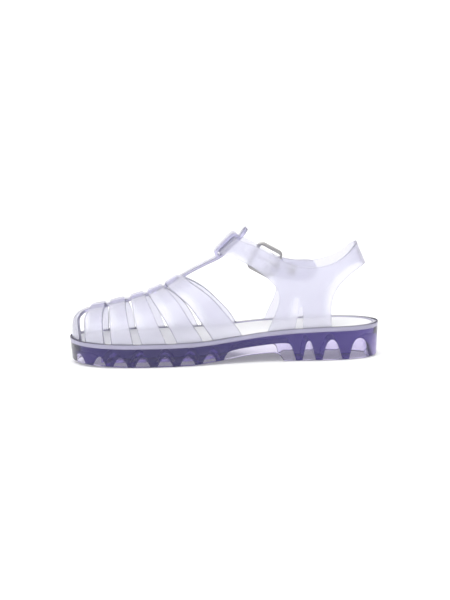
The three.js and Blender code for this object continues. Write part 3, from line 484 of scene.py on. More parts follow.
def wall(name, outer, inner, quads, edge_round):
    """Two copies of a sheet, joined round every open edge, with those rims bevelled by edge_round."""
    n = len(outer)
    pairs = np.stack([quads.reshape(-1), np.roll(quads, -1, axis=1).reshape(-1)], 1)
    key = lambda ends: np.sort(ends, axis=1).astype(np.int64) @ np.array([2 * n, 1])
    _, index, times = np.unique(key(pairs), return_index=True, return_counts=True)
    rim = pairs[index[times == 1]]
    faces = np.vstack([quads, quads[:, ::-1] + n, np.hstack([rim[:, ::-1], rim + n])])
    piece = new_piece(name, np.vstack([outer, inner]), faces)
    mesh = piece.data
    on_rim = np.isin(key(read(mesh.edges, "vertices", width=2)), key(np.vstack([rim, rim + n])))
    mark = mesh.attributes.new("bevel_weight_edge", "FLOAT", "EDGE")
    mark.data.foreach_set("value", on_rim.astype(np.float32))
    add_bevel(piece, "WEIGHT", edge_round, 4).material = 1
    for _ in range(2):
        mesh.materials.append(None)
    apply_modifiers(piece)
    turn_out(piece)
    mark_rounds(piece.data)
    return piece


# %% [markdown]
# ## The outsole
#
# The sole is a block with a paler rim on it. Both are stacks of rings round the outline: the block
# goes up the drafted side to the level of the recess where the board lies, and the rim goes over its
# rounded top and down the inner side. The rim is narrow where an upper stands in the recess.
# Underneath, moulders core the block out between ribs, to save plastic and to keep the walls even.
# Each core is an arch in side view, cut straight across inside the side wall, and a keel parts the
# forefoot's cores.

# %% The block with its rim
RIM_ROUND, LIP_ROUND, RIM_SEAT, LIP_RUN = 0.7, 0.4, 0.05, 8


def lip_at(x):
    """The rim's width: narrow where the front upper and the rear legs stand in the recess."""
    start, stop = REAR_FOOT
    front = 1 - smooth(VAMP_FOOT_END, VAMP_FOOT_END + LIP_RUN, x)
    rear = smooth(start - LIP_RUN, start, x) * (1 - smooth(stop, stop + LIP_RUN, x))
    return mix(RIM_WIDTH, RIM_LIP, np.clip(front + rear, 0, 1))


def ring_at(inset, height):
    """One ring of the block: the outline moved in by inset, at a height worked out from its station."""
    ring = outline(inset(outline(0)[:, 0]) if callable(inset) else inset)
    return np.column_stack([ring, height(ring[:, 0])])


def quarter_turns(steps):
    """Sine and cosine pairs over a quarter turn, for a rounded edge."""
    return [(math.sin(a), math.cos(a)) for a in np.linspace(0, math.pi / 2, steps)]


def side_ring(height):
    """A ring on the drafted side: its inset falls from SIDE_DRAFT at the foot to 0 under the rim's round."""

    def inset(x):
        foot = under_at(x) + EDGE_ROUND
        return SIDE_DRAFT * (1 - (height(x) - foot) / (top_at(x) - RIM_ROUND - foot))

    return ring_at(inset, height)


def seat_at(x):
    """The rim's underside, a hair over the block."""
    return floor_at(x) + RIM_SEAT


rings = [
    ring_at(SIDE_DRAFT + EDGE_ROUND * (1 - s), lambda x: under_at(x) + EDGE_ROUND * (1 - c))
    for s, c in quarter_turns(5)
]
for share in (0.33, 0.67, 1):
    rings.append(side_ring(lambda x: mix(under_at(x) + EDGE_ROUND, floor_at(x), share)))
outsole = loft("outsole_clear", rings)
rings = [side_ring(seat_at)]
for s, c in quarter_turns(5):
    rings.append(ring_at(RIM_ROUND * (1 - c), lambda x: top_at(x) - RIM_ROUND * (1 - s)))
for s, c in quarter_turns(4):
    lip = lambda x: lip_at(x) - LIP_ROUND * (1 - s)
    rings.append(ring_at(lip, lambda x: top_at(x) - LIP_ROUND * (1 - c)))
rings.append(ring_at(lip_at, seat_at))
rim = loft("rim_clear", rings, closed=True)
finished(rim, 50)

# %% The cores between the ribs
RIBS = [  # along, width at the plate, width at the foot
    (0.01, 9, 6),
    (0.064, 10.5, 5),
    (0.126, 10.5, 5),
    (0.195, 11, 5),
    (0.266, 11, 5),
    (0.338, 11, 5),
    (0.41, 11, 5),
    (0.478, 10, 5.4),
    (0.736, 12, 5),
    (0.8, 12, 5),
    (0.885, 12.5, 5),
    (0.975, 12, 8),
]
CORE_REACH, CORE_FOOT = 90, -1


def rounded(points, times=3):
    """Corners cut back again and again, to a quarter and three quarters of each side; the ends stay."""
    p = np.array(points, float)
    for _ in range(times):
        q, r = 0.75 * p[:-1] + 0.25 * p[1:], 0.25 * p[:-1] + 0.75 * p[1:]
        p = np.vstack([p[:1], np.stack([q, r], 1).reshape(-1, 2)[1:-1], p[-1:]])
    return p


def core_outline(before, after):
    """The arch between two ribs: straight flanks that lean in, and a crown that follows the plate."""
    foot = before[0] * LENGTH + before[2] / 2, after[0] * LENGTH - after[2] / 2
    top = before[0] * LENGTH + before[1] / 2, after[0] * LENGTH - after[1] / 2
    shoulder = min(3.2, 0.36 * (top[1] - top[0]))
    crown = [(x, plate_at(x)) for x in (top[0] + shoulder, mix(*top, 0.5), top[1] - shoulder)]
    front, rear = (
        [(low, CORE_FOOT), (low, under_at(low)), (high, plate_at(high) - shoulder)]
        for low, high in zip(foot, top)
    )
    return rounded(front + crown + rear[::-1])


cores = [side_prism("core", core_outline(a, b), -CORE_REACH, CORE_REACH) for a, b in zip(RIBS, RIBS[1:])]
for other in cores[1:]:
    combine(cores[0], other, "UNION")
keel_view = [(KEEL[0], -2), (KEEL[1], -2), (KEEL[1], 60), (KEEL[0], 60)]
combine(cores[0], side_prism("keel", keel_view, -KEEL_WIDTH / 2, KEEL_WIDTH / 2), "DIFFERENCE")
low_inset, high_inset = SIDE_DRAFT + SIDE_WALL, SIDE_WALL + 0.4 * SIDE_DRAFT
rings = [ring_at(low_inset, lambda x: 0 * x - 2), ring_at(low_inset, under_at), ring_at(high_inset, top_at)]
combine(cores[0], loft("within", rings), "INTERSECT")
combine(outsole, cores[0], "DIFFERENCE")
finished(outsole, 32)

# %% [markdown]
# ## The board in the sole
#
# The white insole is a flat board that fills the recess almost flush with the rim. It is a loft of
# a few rings, with a small round at the upper edge.

# %% The insole
BOARD_INSET, BOARD_ROUND = RIM_WIDTH + FIT_GAP, 0.7
rings = [ring_at(BOARD_INSET, foot_at)]
for s, c in quarter_turns(4):
    top = lambda x: foot_at(x) + INSOLE_THICKNESS - BOARD_ROUND * (1 - s)
    rings.append(ring_at(BOARD_INSET + BOARD_ROUND * (1 - c), top))
insole = loft("insole_board", rings)
finished(insole, 50)

# %% [markdown]
# ## The moulded stitch line
#
# A row of small slanted beads runs round the rim's top, like a rope stitch. Each bead is a tiny
# ellipsoid of a few dozen faces. All of them are one mesh, worked out as one array.

# %% The beads on the rim
BEAD_PITCH, BEAD_SLANT, BEAD_INSET = 1.6, 28, 0.6
BEAD_RADII = 0.5, 0.4, 0.9  # along, across and up
ROUND, LEVELS = 8, 4


def bead_row(name):
    """Ellipsoids at even distances round the outline, each turned by a slant from the rim's direction."""
    at = outline(BEAD_INSET, int(round(edge_along[-1] / BEAD_PITCH)))
    way = np.roll(at, -1, 0) - np.roll(at, 1, 0)
    heading = np.arctan2(way[:, 1], way[:, 0]) + math.radians(BEAD_SLANT)
    tilt = np.linspace(-np.pi / 2, np.pi / 2, LEVELS + 2)[1:-1, None, None]
    ball = np.concatenate([circle(ROUND) * np.cos(tilt), np.sin(tilt) + np.zeros((1, ROUND, 1))], -1)
    ball = np.vstack([ball.reshape(-1, 3), [0, 0, -1], [0, 0, 1]]) * BEAD_RADII
    cos, sin = np.cos(heading), np.sin(heading)
    turn = np.array([[cos, sin], [-sin, cos]]).transpose(2, 0, 1)
    height = ball[:, 2] + top_at(at[:, 0])[:, None]
    points = np.concatenate([ball[:, :2] @ turn + at[:, None], height[..., None]], -1)
    last, poles = (LEVELS - 1) * ROUND, LEVELS * ROUND
    faces = ring_quads(LEVELS, ROUND).tolist()
    for j in range(ROUND):
        beside = (j + 1) % ROUND
        faces += [[beside, j, poles], [last + j, last + beside, poles + 1]]
    return new_piece(name, points, [[v + k * len(ball) for v in f] for k in range(len(at)) for f in faces])


beads = bead_row("rim_beads")
finished(beads, 180)

# %% [markdown]
# ## The form inside the front upper
#
# A sandal is drawn over a last, a model of the foot. Its front half has a ridge line in side view
# and the sole's outline in plan. Each section across it is half of a superellipse, |y|ⁿ + |z|ⁿ = 1,
# a little fuller than an ellipse. The toe closes by the same rule with a higher power.

# %% Sizes of the uppers
WALL = 2.2
SPINE_HALF, LOOP_HALF, PAD_RISE, PAD_HALF = 6, 8.5, 1.7, 7.5
STRAP_WIDTH, STRAP_PLAY = 16.6, 0.5
LOOP_STATION, LOOP_HEIGHT, LOOP_ANGLE = 126.7, 93.4, 43.6
LOOP_WALL, SLOT_LENGTH = 2.2, 20.2
LAST_FULLNESS, TOE_FULLNESS = 2.3, 4.6
TOE_ROUND = 0.118 * LENGTH
BAR_END = LOOP_STATION + 17.5
UPPER_INSET = RIM_LIP + FIT_GAP
RIDGE_HEIGHT = 64
UPPER_ROUND, TAB_RISE = 0.6, 1.3

slope_up = math.tan(math.radians(LOOP_ANGLE))
lean_root = math.hypot(1, slope_up)
strap_room = STRAP_PLAY + WALL + STRAP_PLAY


def loop_line(x):
    """The underside of the loop's bridge: a straight line at the loop's angle."""
    return LOOP_HEIGHT + (x - LOOP_STATION) * slope_up


RIDGE = [  # along, up
    (0, 0.354), (0.118, 0.433), (0.188, 0.494), (0.25, 0.56),
    (0.306, 0.646), (0.344, 0.728), (0.377, 0.808), (0.445, 0.947),
]
ridge_rows = [(along * LENGTH, FOREFOOT_THICKNESS + up * RIDGE_HEIGHT) for along, up in RIDGE]
ridge_rows += [(x, loop_line(x) - strap_room * lean_root) for x in LOOP_STATION + np.array([-4.4, 4, 30])]
ridge_line = curve_through(ridge_rows)
inner_edge, outer_edge = (outline_side(UPPER_INSET, side) for side in (-1, 1))
tip_x, tip_y = min(outline(UPPER_INSET, FINE).tolist())


# %% The last as functions
def ridge_side(x):
    """How far the ridge lies sideways: on the centre line, and over the toe tip at the front."""
    return mix(0, tip_y, smooth(TOE_ROUND, tip_x, x))


def last_height(x):
    """The height over the rim; at the toe it falls as (1 - rᵐ)^(1/m) with the reach r to the tip."""
    reach = np.clip((TOE_ROUND - x) / (TOE_ROUND - tip_x), 0, 1)
    return (ridge_line(x) - top_at(x)) * (1 - reach**TOE_FULLNESS) ** (1 / TOE_FULLNESS)


def half_width(x, side):
    """The section's half width on one side, from the ridge to the inset outline."""
    return np.abs(np.where(side < 0, inner_edge(x), outer_edge(x)) - ridge_side(x))


def last_point(x, angle):
    """A point of the last: y grows as sin(angle)^(2/n), z falls as cos(angle)^(2/n)."""
    power = 2 / LAST_FULLNESS
    side = np.sign(angle)
    y = ridge_side(x) + side * half_width(x, side) * np.abs(np.sin(angle)) ** power
    z = top_at(x) + last_height(x) * np.maximum(np.cos(angle), 0) ** power
    return np.stack([x, y, z], -1)


def angle_of_side(x, y_off):
    """The section angle at which the last is y_off away from the ridge."""
    share = np.clip(np.abs(y_off) / np.maximum(half_width(x, y_off), 1e-6), 0, 1)
    return np.sign(y_off) * np.arcsin(share ** (LAST_FULLNESS / 2))


def outside(p):
    """Over 1 outside the last, under 1 inside it: |y/Y|ⁿ + |z/Z|ⁿ."""
    x, y, z = p[..., 0], p[..., 1] - ridge_side(p[..., 0]), p[..., 2] - top_at(p[..., 0])
    width = np.maximum(half_width(x, y), 1e-3)
    height = np.maximum(last_height(x), 1e-3)
    value = np.abs(y / width) ** LAST_FULLNESS + np.maximum(z / height, 0) ** LAST_FULLNESS
    return np.where(x < tip_x, 1e6, value)


# %% [markdown]
# ## The front upper
#
# Five straps arch over the forefoot and join a spine. All of it is one grid of rows across the foot
# and columns along it, and the windows between the straps are cells left out of the grid. Strap
# edges are splines over the section angle: the outer side's lie further back at the rim. Ahead of
# the first strap the spine's lanes run on down the toe, and behind the last one they are the T-bar.

# %% The straps' edges
EDGE_HEIGHTS = np.array([0, 0.3, 0.6, 0.85, 1])
# Each strap: shares of the length at those heights for its front edge (inner half, outer half) and for
# its rear edge, then the shares at which its pad starts and ends on the ridge.
STRAPS = [
    (
        ([0.046, 0.045, 0.046, 0.052, 0.07], [0.064, 0.064, 0.066, 0.07, 0.078]),
        ([0.108, 0.105, 0.104, 0.107, 0.116], [0.1255, 0.126, 0.1265, 0.124, 0.119]),
        (0.0695, 0.1205),
    ),
    (
        ([0.131, 0.128, 0.127, 0.1275, 0.1285], [0.149, 0.148, 0.146, 0.141, 0.133]),
        ([0.2, 0.193, 0.1855, 0.181, 0.181], [0.215, 0.2105, 0.2025, 0.191, 0.182]),
        (0.131, 0.181),
    ),
    (
        ([0.228, 0.217, 0.208, 0.202, 0.1985], [0.24, 0.232, 0.2205, 0.2075, 0.199]),
        ([0.306, 0.289, 0.271, 0.2555, 0.244], [0.312, 0.299, 0.281, 0.259, 0.244]),
        (0.198, 0.243),
    ),
    (
        ([0.342, 0.322, 0.297, 0.273, 0.254], [0.344, 0.328, 0.308, 0.281, 0.254]),
        ([0.425, 0.397, 0.368, 0.339, 0.304], [0.421, 0.4, 0.365, 0.322, 0.303]),
        (0.254, 0.303),
    ),
    (
        ([0.458, 0.427, 0.395, 0.353, 0.314], [0.452, 0.43, 0.393, 0.337, 0.313]),
        ([0.552, 0.515, 0.47, 0.416, 0.366], [0.547, 0.509, 0.455, 0.39, 0.362]),
        (0.31, 0.356),
    ),
]


def edge_over_angle(inner, outer):
    """A strap edge as a spline x(angle) over the whole section, from the inner rim to the outer rim."""
    rows = {}
    for side, shares in ((-1, inner), (1, outer)):
        x = np.array(shares) * LENGTH
        x[-1] = LENGTH * (inner[-1] + outer[-1]) / 2
        z = mix(top_at(x[0]), ridge_line(x[-1]), EDGE_HEIGHTS)
        rise = np.clip((z - top_at(x)) / last_height(x), 0, 1)
        angle = side * np.arccos(rise ** (LAST_FULLNESS / 2))
        angle[-1] = 0
        rows.update(zip(angle.round(9).tolist(), x))
    return spline_through(sorted(rows.items()))


edges = [(edge_over_angle(*front), edge_over_angle(*rear)) for front, rear, _ in STRAPS]

# %% The rows across the foot
LANES = np.linspace(-SPINE_HALF, SPINE_HALF, 15)
DROPS = np.array([RIM_HEIGHT - FIT_GAP, 2.1, FIT_GAP])  # how far below the rim the foot's rows lie
SIDE_STEPS, SIDE_POWER = 34, 1.2  # rows on each side, and how they crowd towards the spine
side_share = np.concatenate([0 * DROPS + 1, np.linspace(0, 1, SIDE_STEPS + 1)[:0:-1] ** SIDE_POWER])
row_share = np.concatenate([side_share, 0 * LANES, side_share[::-1]])
row_drop = np.concatenate([DROPS, np.zeros(2 * SIDE_STEPS + len(LANES)), DROPS[::-1]])
row_lane = np.pad(LANES, len(side_share), mode="edge")
in_spine, in_foot = row_share == 0, row_drop > 0


def row_angle(x):
    """Each row's section angle at its station: lanes on the spine, then shares down to the rim."""
    return mix(angle_of_side(x, row_lane), np.sign(row_lane) * np.pi / 2, row_share)


def column_at(edge):
    """A strap edge's station in every row, by repeating x = edge(angle(x)) until it settles."""
    x = edge(np.zeros(len(row_lane)))
    for _ in range(12):
        x = edge(row_angle(x))
    return x


# %% The cage's grid
COLUMN_PITCH, WINDOW_STEPS = 1.05, 6
columns, is_window = [], []
for front, rear in edges:
    a, b = column_at(front), column_at(rear)
    if columns:
        columns += [mix(columns[-1], a, k / WINDOW_STEPS) for k in range(1, WINDOW_STEPS)]
        is_window += [True] * WINDOW_STEPS
    steps = int(round((b - a).max() / COLUMN_PITCH))
    columns += [mix(a, b, k / steps) for k in range(0, steps + 1)]
    is_window += [False] * steps
x = np.array(columns).T
points = last_point(x, np.array([row_angle(column) for column in columns]).T)
points[..., 2] -= row_drop[:, None]
whole_row = (in_spine[:-1] & in_spine[1:]) | (in_foot[:-1] & in_foot[1:])
keep = ~np.array(is_window)[None, :] | whole_row[:, None]
blocks = [block(points, keep)]
print(f"cage grid: {x.shape[0]} rows, {x.shape[1]} columns, {keep.sum()} cells kept of {keep.size}")

# %% The T-bar
BAR_STEPS, BAR_FLARE = 62, (LOOP_STATION - 28, LOOP_STATION - 8)
BAR_TAPER, END_ROUND = 1.2, 0.985
bar_reach = BAR_END - SPINE_HALF * (1 - np.sqrt(np.maximum(0, 1 - (END_ROUND * LANES / SPINE_HALF) ** 2)))
bar_x = mix(x[in_spine, -1][:, None], bar_reach[:, None], np.linspace(0, 1, BAR_STEPS)[None, :])
bar_half = mix(SPINE_HALF, LOOP_HALF - BAR_TAPER, smooth(*BAR_FLARE, bar_x))
bar_y = LANES[:, None] / SPINE_HALF * bar_half
blocks.append(block(last_point(bar_x, angle_of_side(bar_x, bar_y))))

# %% The toe strap
TOE_STEPS, TOE_HALF, TOE_DEEPEST = 44, 20, 25
reach = (TOE_ROUND - x[in_spine, 0][len(LANES) // 2]) / (TOE_ROUND - tip_x)
turn = np.linspace(np.arccos(reach ** (TOE_FULLNESS / 2)), 0, 600)
path_x = TOE_ROUND - (TOE_ROUND - tip_x) * np.cos(turn) ** (2 / TOE_FULLNESS)
path_z = top_at(path_x) + last_height(path_x)
path_z[-1] = top_at(tip_x)
path = evenly(np.stack([path_x, path_z], 1), TOE_STEPS)
way = np.gradient(path, axis=0)
way[-1] = 0, -1
way = unit(way)
inwards = np.stack([-way[:, 1], 0 * way[:, 0], way[:, 0]], -1)[:, None]
down = np.linspace(0, 1, TOE_STEPS)
toe_half = mix(SPINE_HALF, TOE_HALF, smooth(0, 1, down))[:, None]
toe_y = ridge_side(path[:, :1]) + LANES / SPINE_HALF * toe_half
start = np.stack([path[:, :1] + 0 * toe_y, toe_y, path[:, 1:] + 0 * toe_y], -1)
is_out = lambda deep: outside(start + inwards * deep[..., None]) > 1
toe = start + inwards * halved(0 * toe_y, 0 * toe_y + TOE_DEEPEST, is_out)[..., None]
toe = toe + (points[in_spine, 0] - toe[0]) * (1 - smooth(0, 0.35, down))[:, None, None]
blocks.append(block(toe))

# %% The foot band round the toe
BAND_STEPS = 12


def round_the_toe(start_point, stop_point):
    """Points of the inset outline between two of its points, by the way round the toe tip."""
    ring = outline(UPPER_INSET, FINE)
    i, j = (np.linalg.norm(ring - p[:2], axis=1).argmin() for p in (start_point, stop_point))
    gap = (j - i + FINE // 2) % FINE - FINE // 2
    at = (i + gap * np.linspace(0, 1, BAND_STEPS)) % FINE
    k = at.astype(int)
    part = mix(ring[k], ring[(k + 1) % FINE], (at - k)[:, None])
    part[0], part[-1] = start_point[:2], stop_point[:2]
    return part


inner_part = round_the_toe(points[len(DROPS), 0], toe[-1, 0])[:-1]
outer_part = round_the_toe(toe[-1, -1], points[-len(DROPS) - 1, 0])[1:]
band = np.vstack([inner_part, toe[-1, :, :2], outer_part])
band = np.stack([np.column_stack([band, top_at(band[:, 0]) - drop]) for drop in (0, *DROPS[::-1])])
first, last = len(inner_part), len(inner_part) + len(LANES)
band[0, first:last, 2] = toe[-1, :, 2]
keep = np.ones((len(DROPS), band.shape[1] - 1), bool)
keep[0, :first] = keep[0, last - 1 :] = False
blocks.append(block(band, keep))


# %% Pads, and the wall
def last_centre(p):
    """The middle of the last behind the toe, below rim height, for telling outside from inside."""
    return np.stack([np.maximum(p[:, 0], TOE_ROUND), ridge_side(p[:, 0]), top_at(p[:, 0]) - 30], -1)


def pad_height(p):
    """Each pad rises over its strap's crossing by an eased step on all four sides, with a slight crown."""
    rise = np.zeros(len(p))
    across = 1 - smooth(PAD_HALF - 1.2, PAD_HALF + 0.5, np.abs(p[:, 1]))
    for *_, pad in STRAPS:
        a, b = (share * LENGTH for share in pad)
        along = smooth(a - 0.7, a + 1.3, p[:, 0]) * (1 - smooth(b - 0.9, b + 0.5, p[:, 0]))
        crown = 0.86 + 0.2 * np.sin(np.pi * np.clip((p[:, 0] - a) / (b - a), 0, 1))
        rise += PAD_RISE * along * across * crown
    return rise


sheet, quads = join_blocks(blocks, last_centre)
normal = corner_normals(sheet, quads)
pads = pad_height(sheet) * smooth(0.3, 0.7, normal[:, 2])
tab = TAB_RISE * smooth(LOOP_STATION + 11, LOOP_STATION + 15, sheet[:, 0])
outer_face = sheet + normal * (pads + tab)[:, None]
cage = wall("front_cage_clear", outer_face, sheet - normal * WALL, quads, UPPER_ROUND)

# %% [markdown]
# ## The T-bar's loop
#
# The long strap runs through a loop on the T-bar: a bridge on two short legs. Its side view is one
# closed outline with cut-back corners, carried across and bevelled.

# %% The loop
slot = SLOT_LENGTH / 2
under = -strap_room - 0.5 * WALL
LOOP_OVER = [  # along the loop's line from its middle, and out from it
    (-slot - LOOP_WALL, under),
    (-slot - LOOP_WALL, 0.2 * LOOP_WALL),
    (-slot + 0.4, LOOP_WALL),
    (0, LOOP_WALL + 0.35),
    (slot - 0.6, LOOP_WALL + 0.3),
    (slot + LOOP_WALL - 0.2, 0.35 * LOOP_WALL),
    (slot + LOOP_WALL, under),
]
LOOP_BELOW = [(slot, under), (slot, 0), (0, 0.1), (-slot, 0), (-slot, under)]
loop_view = np.vstack([rounded(LOOP_OVER), rounded(LOOP_BELOW, 2)])
loop_view = loop_view @ np.array([[1, slope_up], [-slope_up, 1]]) / lean_root + [LOOP_STATION, LOOP_HEIGHT]
loop = side_prism("loop", loop_view, -LOOP_HALF, LOOP_HALF)
add_bevel(loop, "ANGLE", UPPER_ROUND, 3).angle_limit = math.radians(60)
apply_modifiers(loop)
combine(cage, loop, "UNION")
finished(cage, 40)

# %% [markdown]
# ## The rear upper
#
# The rear upper is a wall bent round the ankle: in plan a rounded oblong that narrows to the sole's
# outline at the rim. A point of it is named by its angle round the ankle and its height. The two
# edges are drawn in side view, as they would be on a pattern, and are wrapped on to that surface.

# %% Sizes of the rear upper
ANKLE_STATION, ANKLE_HALF_WIDTH = 190, 25.5
HEEL_STRAP_STATION, HEEL_STRAP_HEIGHT, HEEL_STRAP_LEAN = 236.6, 84.3, 0.4
FRONT_FULLNESS, BACK_FULLNESS, BLEND_HEIGHT = 2.8, 2.5, 40
OUTER_DROP, DROP_RUN, EYE_STATION, TAIL_STATION, FOLD_RISE = 3.4, 16, 173.4, 196, 5
LOWEST, HIGHEST = 40.0, 118.0  # heights between which an edge is looked for

TOP_EDGE = [  # station, height
    (124, 106.4), (133.4, 99.2), (139.5, 96.8), (146.5, 94.3), (155, 90.4), (165, 84.9), (174, 80.2),
    (182.5, 76.7), (190, 75.2), (199, 75), (209, 76.6), (219, 80.8), (226.5, 86.2), (233.4, 92.6), (246, 104),
]
LOW_EDGE = [
    (115, 93.8), (121.4, 86.7), (128.5, 84.6), (138, 81.2), (147, 76.6), (155.7, 70.2), (162.5, 64),
    (167, 58.2), (168.9, 51.7), (167.8, 45.5), (164.2, 36.5), (160.6, 28.4), (158.6, 23.6),
]
LEG_REAR = [
    (210.2, 27.2), (210.2, 38), (211.4, 48.5), (216, 58), (223, 65.2), (231, 71), (240.2, 75.6), (252, 80),
]
top_path, low_path = path_through(TOP_EDGE, 400), path_through(LOW_EDGE, 400)
rear_path = path_through(LEG_REAR, 300)


# %% The surface round the ankle
def ankle_point(angle, side, z, offset=0.0):
    """Angle 0 is the front centre and π the heel. x and y are powers of its cosine and sine, as on a
    superellipse; the front and the heel strap lean, and low down y blends into the sole's outline."""
    c = np.cos(angle)
    front = c > 0
    lean = np.where(front, 1 / slope_up, -HEEL_STRAP_LEAN)
    reference = np.where(front, LOOP_HEIGHT - STRAP_PLAY * lean_root, HEEL_STRAP_HEIGHT)
    far = np.where(front, ANKLE_STATION - LOOP_STATION, HEEL_STRAP_STATION - ANKLE_STATION)
    power = 2 / np.where(front, FRONT_FULLNESS, BACK_FULLNESS)
    share = np.abs(c)
    reach = far + offset * np.hypot(1, lean)
    x = ANKLE_STATION + np.where(front, -1, 1) * reach * share**power + lean * share**3 * (z - reference)
    across = side * (ANKLE_HALF_WIDTH + offset) * np.abs(np.sin(angle)) ** power
    rim_y = np.where(np.asarray(side) < 0, inner_edge(x), outer_edge(x)) + side * offset
    return np.stack([x, mix(rim_y, across, smooth(top_at(x), top_at(x) + BLEND_HEIGHT, z)), z + 0 * x], -1)


def ankle_angle(x, z, side):
    """The angle whose point shows at a station and height in side view."""
    zero = np.zeros(np.shape(x))
    return halved(zero, zero + np.pi, lambda angle: ankle_point(angle, side, z)[..., 0] < x)


def edge_height(path, angle, side):
    """The height at which a side view edge crosses the surface at an angle."""
    is_under = lambda z: z < np.interp(ankle_point(angle, side, z)[..., 0], path[:, 0], path[:, 1])
    return halved(np.full(np.shape(angle), LOWEST), np.full(np.shape(angle), HIGHEST), is_under)


def lowered(path, side):
    """The outer side's strap lies lower than the inner side's where it runs through the buckle."""
    if side < 0:
        return path
    x = path[:, 0]
    drop = OUTER_DROP * smooth(LOOP_STATION + 0.4 * DROP_RUN, EYE_STATION - 0.4 * DROP_RUN, x)
    drop *= 1 - 0.85 * smooth(EYE_STATION - 0.4 * DROP_RUN, TAIL_STATION, x)
    drop *= 1 - smooth(TAIL_STATION, TAIL_STATION + DROP_RUN, x)
    return path - np.stack([0 * x, drop], 1)


# %% The buckle's axes
FRAME_LENGTH, FRAME_WIDTH, FRAME_CORNER = 20.5, 21.8, 3.4
FOLD = -9.5, -1.5
outer_top = lowered(top_path, 1)


def strap_axes(station, ahead=1.5, behind=1.5):
    """Origin and axes on the outer strap's middle: along it to the heel, up across it, and outwards."""
    z, before, after = np.interp([station, station - ahead, station + behind], *outer_top.T)
    slope = math.atan2(after - before, ahead + behind)
    cos, sin = math.cos(slope), math.sin(slope)
    half = STRAP_WIDTH / 2
    middle = np.array([station + half * sin, z - half * cos])

    def on_surface(along, across):
        x, height = middle + [along * cos - across * sin, along * sin + across * cos]
        return ankle_point(ankle_angle(x, height, 1), 1, height)

    along = unit(on_surface(4, 0) - on_surface(-4, 0))
    across = on_surface(0, 4) - on_surface(0, -4)
    across = unit(across - along * across.dot(along))
    return on_surface(0, 0), along, across, np.cross(across, along)


buckle = strap_axes(EYE_STATION, 0.9 * FRAME_LENGTH, 1)
print("eye at", np.round(buckle[0], 1))


def in_buckle(along, across, out, axes=buckle):
    """A point given along, across and out from the eye's middle."""
    return axes[0] + axes[1] * along + axes[2] * across + axes[3] * out


def step_out(p):
    """The long strap rises over the short strap's fold by an eased step along the buckle's axis."""
    return FOLD_RISE * smooth(*FOLD, (p - buckle[0]) @ buckle[1])


# %% Bands between two edges
BAND_ROWS, LEG_ROWS, MIDDLE_COLUMNS, LEG_TOP = 16, 38, 46, 61.5


def band_grid(angle_low, z_low, angle_high, z_high):
    """A grid of angles and heights ruled between a lower and an upper edge."""
    r = np.linspace(0, 1, BAND_ROWS)[:, None]
    return mix(angle_low, angle_high, r), mix(z_low, z_high, r)


def band_points(side, *between):
    """The surface's points on a grid between two edges."""
    angle, z = band_grid(*between)
    return ankle_point(angle, side, z)


def even_angles(start, stop, pitch, side):
    """Angles from start to stop whose points lie at even distances round the ankle."""
    fine = np.linspace(start, stop, 900)
    along = distances(ankle_point(fine, side, 80.0))
    return np.interp(np.linspace(0, along[-1], int(along[-1] / pitch) + 2), along, fine)


def leg(side, front_path, low):
    """The leg: rows from the band's lower edge down two side edges to the foot in the sole's recess."""
    rear_edge = np.vstack([low[-1:], rear_path[rear_path[:, 1] < low[-1, 1]][::-1]])
    left, right = (
        evenly(np.vstack([path, [[path[-1, 0], foot_at(path[-1, 0])]]]), LEG_ROWS)
        for path in (np.vstack([low[:1], front_path]), rear_edge)
    )
    share = (low[:, 0] - low[0, 0]) / (low[-1, 0] - low[0, 0])
    view = mix(left[:, None], right[:, None], share[None, :, None])
    sag = foot_at(view[-1, :, 0]) - view[-1, :, 1]
    view[..., 1] += (np.linspace(0, 1, LEG_ROWS)[:, None] ** 4) * sag
    view[0] = low
    return ankle_point(ankle_angle(view[..., 0], view[..., 1], side), side, view[..., 1])


# %% The inner half, from the loop to the heel
rear_grids = []
rear_corner = rear_path[(rear_path[:, 1] > LEG_TOP).argmax()]


def middle_and_leg(side, low_corner, high_start, front_path):
    """The band over the leg, the leg under it, and the band on round to the heel."""
    top = lowered(top_path, side)
    low = mix(low_corner, rear_corner, np.linspace(0, 1, MIDDLE_COLUMNS)[:, None])
    end_angle = ankle_angle(*rear_corner, side)
    end_z = edge_height(top, end_angle, side)
    high_x = np.linspace(high_start[0], ankle_point(end_angle, side, end_z)[0], MIDDLE_COLUMNS)
    high_z = np.interp(high_x, top[:, 0], top[:, 1])
    high_z[0], high_z[-1] = high_start[1], end_z
    angle_high = ankle_angle(high_x, high_z, side)
    angle_high[-1] = end_angle
    rear_grids.append(band_points(side, ankle_angle(*low.T, side), low[:, 1], angle_high, high_z))
    rear_grids.append(leg(side, front_path, low))
    angles = even_angles(end_angle, np.pi, 1.5, side)
    z_low = edge_height(rear_path[rear_path[:, 1] > LEG_TOP - 1], angles, side)
    z_high = edge_height(top, angles, side)
    z_low[0], z_high[0] = rear_corner[1], end_z
    rear_grids.append(band_points(side, angles, z_low, angles, z_high))


front_corner = low_path[(low_path[:, 1] < LEG_TOP).argmax()]
corner_angle = float(ankle_angle(*front_corner, -1))
angles = even_angles(0, corner_angle, 1.5, -1)
strap_low = low_path[: (low_path[:, 1] < LEG_TOP - 2).argmax()]
z_low, z_high = edge_height(strap_low, angles, -1), edge_height(top_path, angles, -1)
z_low[-1] = front_corner[1]
rear_grids.append(band_points(-1, angles, z_low, angles, z_high))
centre_low, centre_high = z_low[0], z_high[0]
high_start = ankle_point(corner_angle, -1, z_high[-1])[[0, 2]]
middle_and_leg(-1, front_corner, high_start, low_path[low_path[:, 1] < LEG_TOP - 0.3])

# %% The outer half, from the eye to the heel
eye_low, eye_high = (in_buckle(0, way * STRAP_WIDTH / 2, 0)[[0, 2]] for way in (-1, 1))
front_path = path_through([eye_low, (168.7, 54)] + [p for p in LOW_EDGE if p[1] < 52], 160)[1:]
middle_and_leg(1, eye_low, eye_high, front_path)

